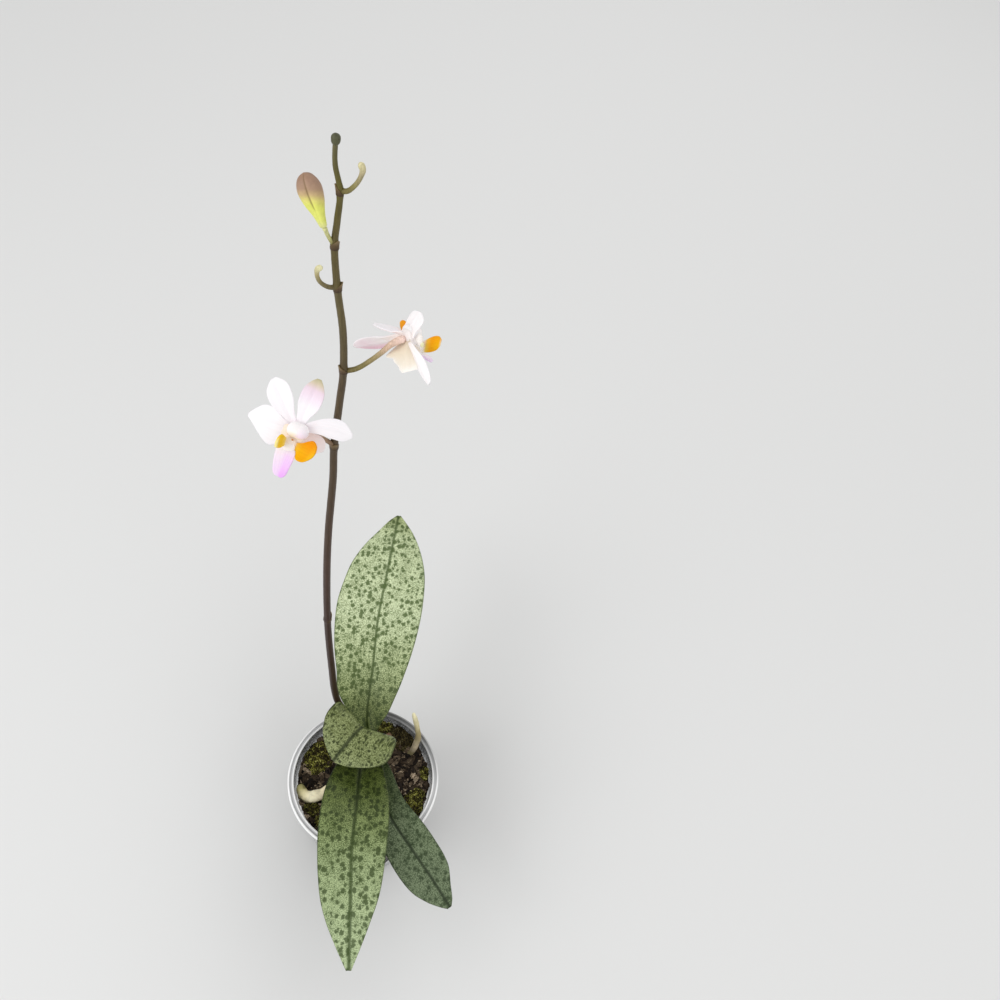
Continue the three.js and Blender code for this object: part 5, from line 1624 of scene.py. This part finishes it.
# The column: a short hood, hollow below its front edge
def columnBody(column):
    wide, tall, deep = column["size"]

    def radiusAt(t, turn):
        egg = np.sin(math.pi * t) ** 0.7 * np.hypot(wide * np.cos(turn), tall * np.sin(turn))
        below = np.clip(-np.sin(turn) - 0.25, 0, 1) * np.clip(4 * t - 2.4, 0, 1) * np.clip(8 - 8 * t, 0, 1)
        return egg * (1 - 0.5 * below)

    def tintAt(t, turn):
        below = np.clip(-1.8 * np.sin(turn) - 0.1, 0, 1) * np.clip(4 * t - 1.6, 0, 1)
        lilac = np.clip(np.cos(turn), 0, 1) * np.clip(2 * t - 0.7, 0, 1) * 0.55
        tint = towards(colourAt(hoodTints, t), srgb(236, 208, 242), lilac)
        return towards(tint, srgb(252, 240, 206), below)

    def heightAt(t, turn):
        return -deep * np.cos(math.pi * t)

    body = ringBody(radiusAt, heightAt, rings=36, sides=36, tintAt=tintAt)
    return placed(body, turnX(column["lean"]), column["place"])


def eggBody(size, tint, place):
    wide, tall, deep = size

    def radiusAt(t, turn):
        return np.sin(math.pi * t) * np.hypot(wide * np.cos(turn), tall * np.sin(turn))

    def heightAt(t, turn):
        return -deep * np.cos(math.pi * t)

    def tintAt(t, turn):
        return np.tile(srgb(*tint), (len(t), 1))

    return placed(ringBody(radiusAt, heightAt, rings=14, sides=24, tintAt=tintAt), None, place)


def lobeBody(lobe):
    hand = lobe["hand"]
    across = np.array([hand * 0.2, 0.97, 0])
    start = lipRoot + np.array([hand * 1.4, 0, 0])
    shape = lobeShapes[lobe["shape"]]

    def pointAt(t, s):
        reach = reachAt(shape["lower"], shape["upper"], t, s)
        cup = 0.06 * reach * reach
        place = start + np.array(lobe["run"]) * t[..., None] + across * reach[..., None]
        return place + np.stack([-hand * 0.5 * cup, 0 * cup, 0.8 * cup], axis=-1)

    def tintAt(t, s):
        warm = np.clip(s + 0.2, 0, 1) * np.clip(2.5 * t, 0, 1) * lobe["warmth"]
        return towards(colourAt(lobe["tints"], t), srgb(232, 108, 8), warm)

    return bladeBody(pointAt, evenThickness(0.45), along=30, across=22, tintAt=tintAt)


def tongueBody(tip, widths):
    root = lipRoot + np.array([0, -1.7, 0.9])
    run = np.array(tip) - root

    def pointAt(t, s):
        reach = s * smoothAt(widths, t)
        arch = 5.6 * t * (1 - t) * 0.5 + 0.12 * np.abs(reach)
        return root + run * t[..., None] + np.stack([reach, 0 * t, arch], axis=-1)

    def tintAt(t, s):
        return towards(colourAt(tonguePale, t), colourAt(tongueDeep, t), np.clip(0.5 + 1.6 * s, 0, 1))

    return bladeBody(pointAt, evenThickness(0.5), along=30, across=16, tintAt=tintAt)


# The bloom's own axes as the columns of a matrix
def bloomTurn(bloom):
    front = np.array(bloom["front"], float)
    front /= np.linalg.norm(front)
    top = np.array(bloom["top"], float)
    top -= front * (top @ front)
    top /= np.linalg.norm(top)
    return np.stack([np.cross(top, front), top, front], axis=1)


def makeBlooms():
    finishes = {slotName: petalFinish(look) for slotName, look in petalLooks.items()}
    for name, bloom in blooms.items():
        turn = bloomTurn(bloom)
        tepals = [tepalBody(tepal) for tepal in bloom["tepals"]]
        lobes = [lobeBody(lobe) for lobe in bloom["lobes"]]
        throat = [eggBody(**part) for part in bloom["throat"]]
        groups = {
            "tepals": ("tepal", [columnBody(bloom["column"]), eggBody(**bloomCore), *tepals]),
            "lip_lobes": ("lip_lobe", [*throat, *lobes]),
            "lip_tongue": ("lip_tongue", [tongueBody(bloom["tongueTip"], bloom["tongueWidths"])]),
        }
        for group, (slotName, bodies) in groups.items():
            bodies = [placed(body, turn, bloom["centre"]) for body in bodies]
            addPiece(f"{name}_{group}_fine", bodies, [finishes[slotName]], slotName, f"{name}_{group}")
    print("blooms made")


makeBlooms()


# Bud

bud = {
    "foot": (-18.2, 10.8, 473), "head": (-24.4, 13.2, 488.9), "length": 16.9, "start": 0.025,
    "girth": [(0, 0.8), (0.035, 1.15), (0.12, 1.4), (0.22, 1.75), (0.32, 2.25), (0.46, 3.05), (0.62, 3.6),
              (0.74, 3.65), (0.87, 2.95), (0.95, 1.8), (1, 0)],
    "tints": [(0, (214, 214, 150)), (0.12, (226, 230, 120)), (0.36, (228, 232, 112)),
              (0.48, (222, 214, 122)), (0.6, (198, 172, 126)), (0.72, (172, 142, 118)),
              (0.86, (162, 132, 112)), (1, (150, 120, 98))],
    "seam": 0.05, "seamTurn": 0.5, "seamTint": (112, 92, 58), "slant": 0.14, "slantTurn": 3.1,
}


def makeBud():
    def seamAt(turn):
        return np.abs(np.cos(1.5 * (turn - bud["seamTurn"])))

    def radiusAt(t, turn):
        return smoothAt(bud["girth"], t) * (1 - 2 * bud["seam"] * seamAt(turn) ** 24)

    def heightAt(t, turn):
        return bud["length"] * ((1 + bud["start"]) * t - bud["start"])

    def tintAt(t, turn):
        slanted = np.clip(t + bud["slant"] * np.cos(turn - bud["slantTurn"]) * np.sin(math.pi * t), 0, 1)
        line = seamAt(turn) ** 160 * np.clip(5 * t - 1.6, 0, 0.75)
        return towards(colourAt(bud["tints"], slanted), srgb(*bud["seamTint"]), line)

    body = ringBody(radiusAt, heightAt, rings=64, sides=120, tintAt=tintAt)
    lean = Vector(bud["head"]) - Vector(bud["foot"])
    body = placed(body, lean.to_track_quat("Z", "Y").to_matrix(), bud["foot"])
    finish = skinFinish("budSkin", streakScale=0.5, roughness=0.5, contrast=0.1, bump=0.2)
    addPiece("bud_fine", [body], [finish], "bud", "bud")
    print("bud made")


makeBud()
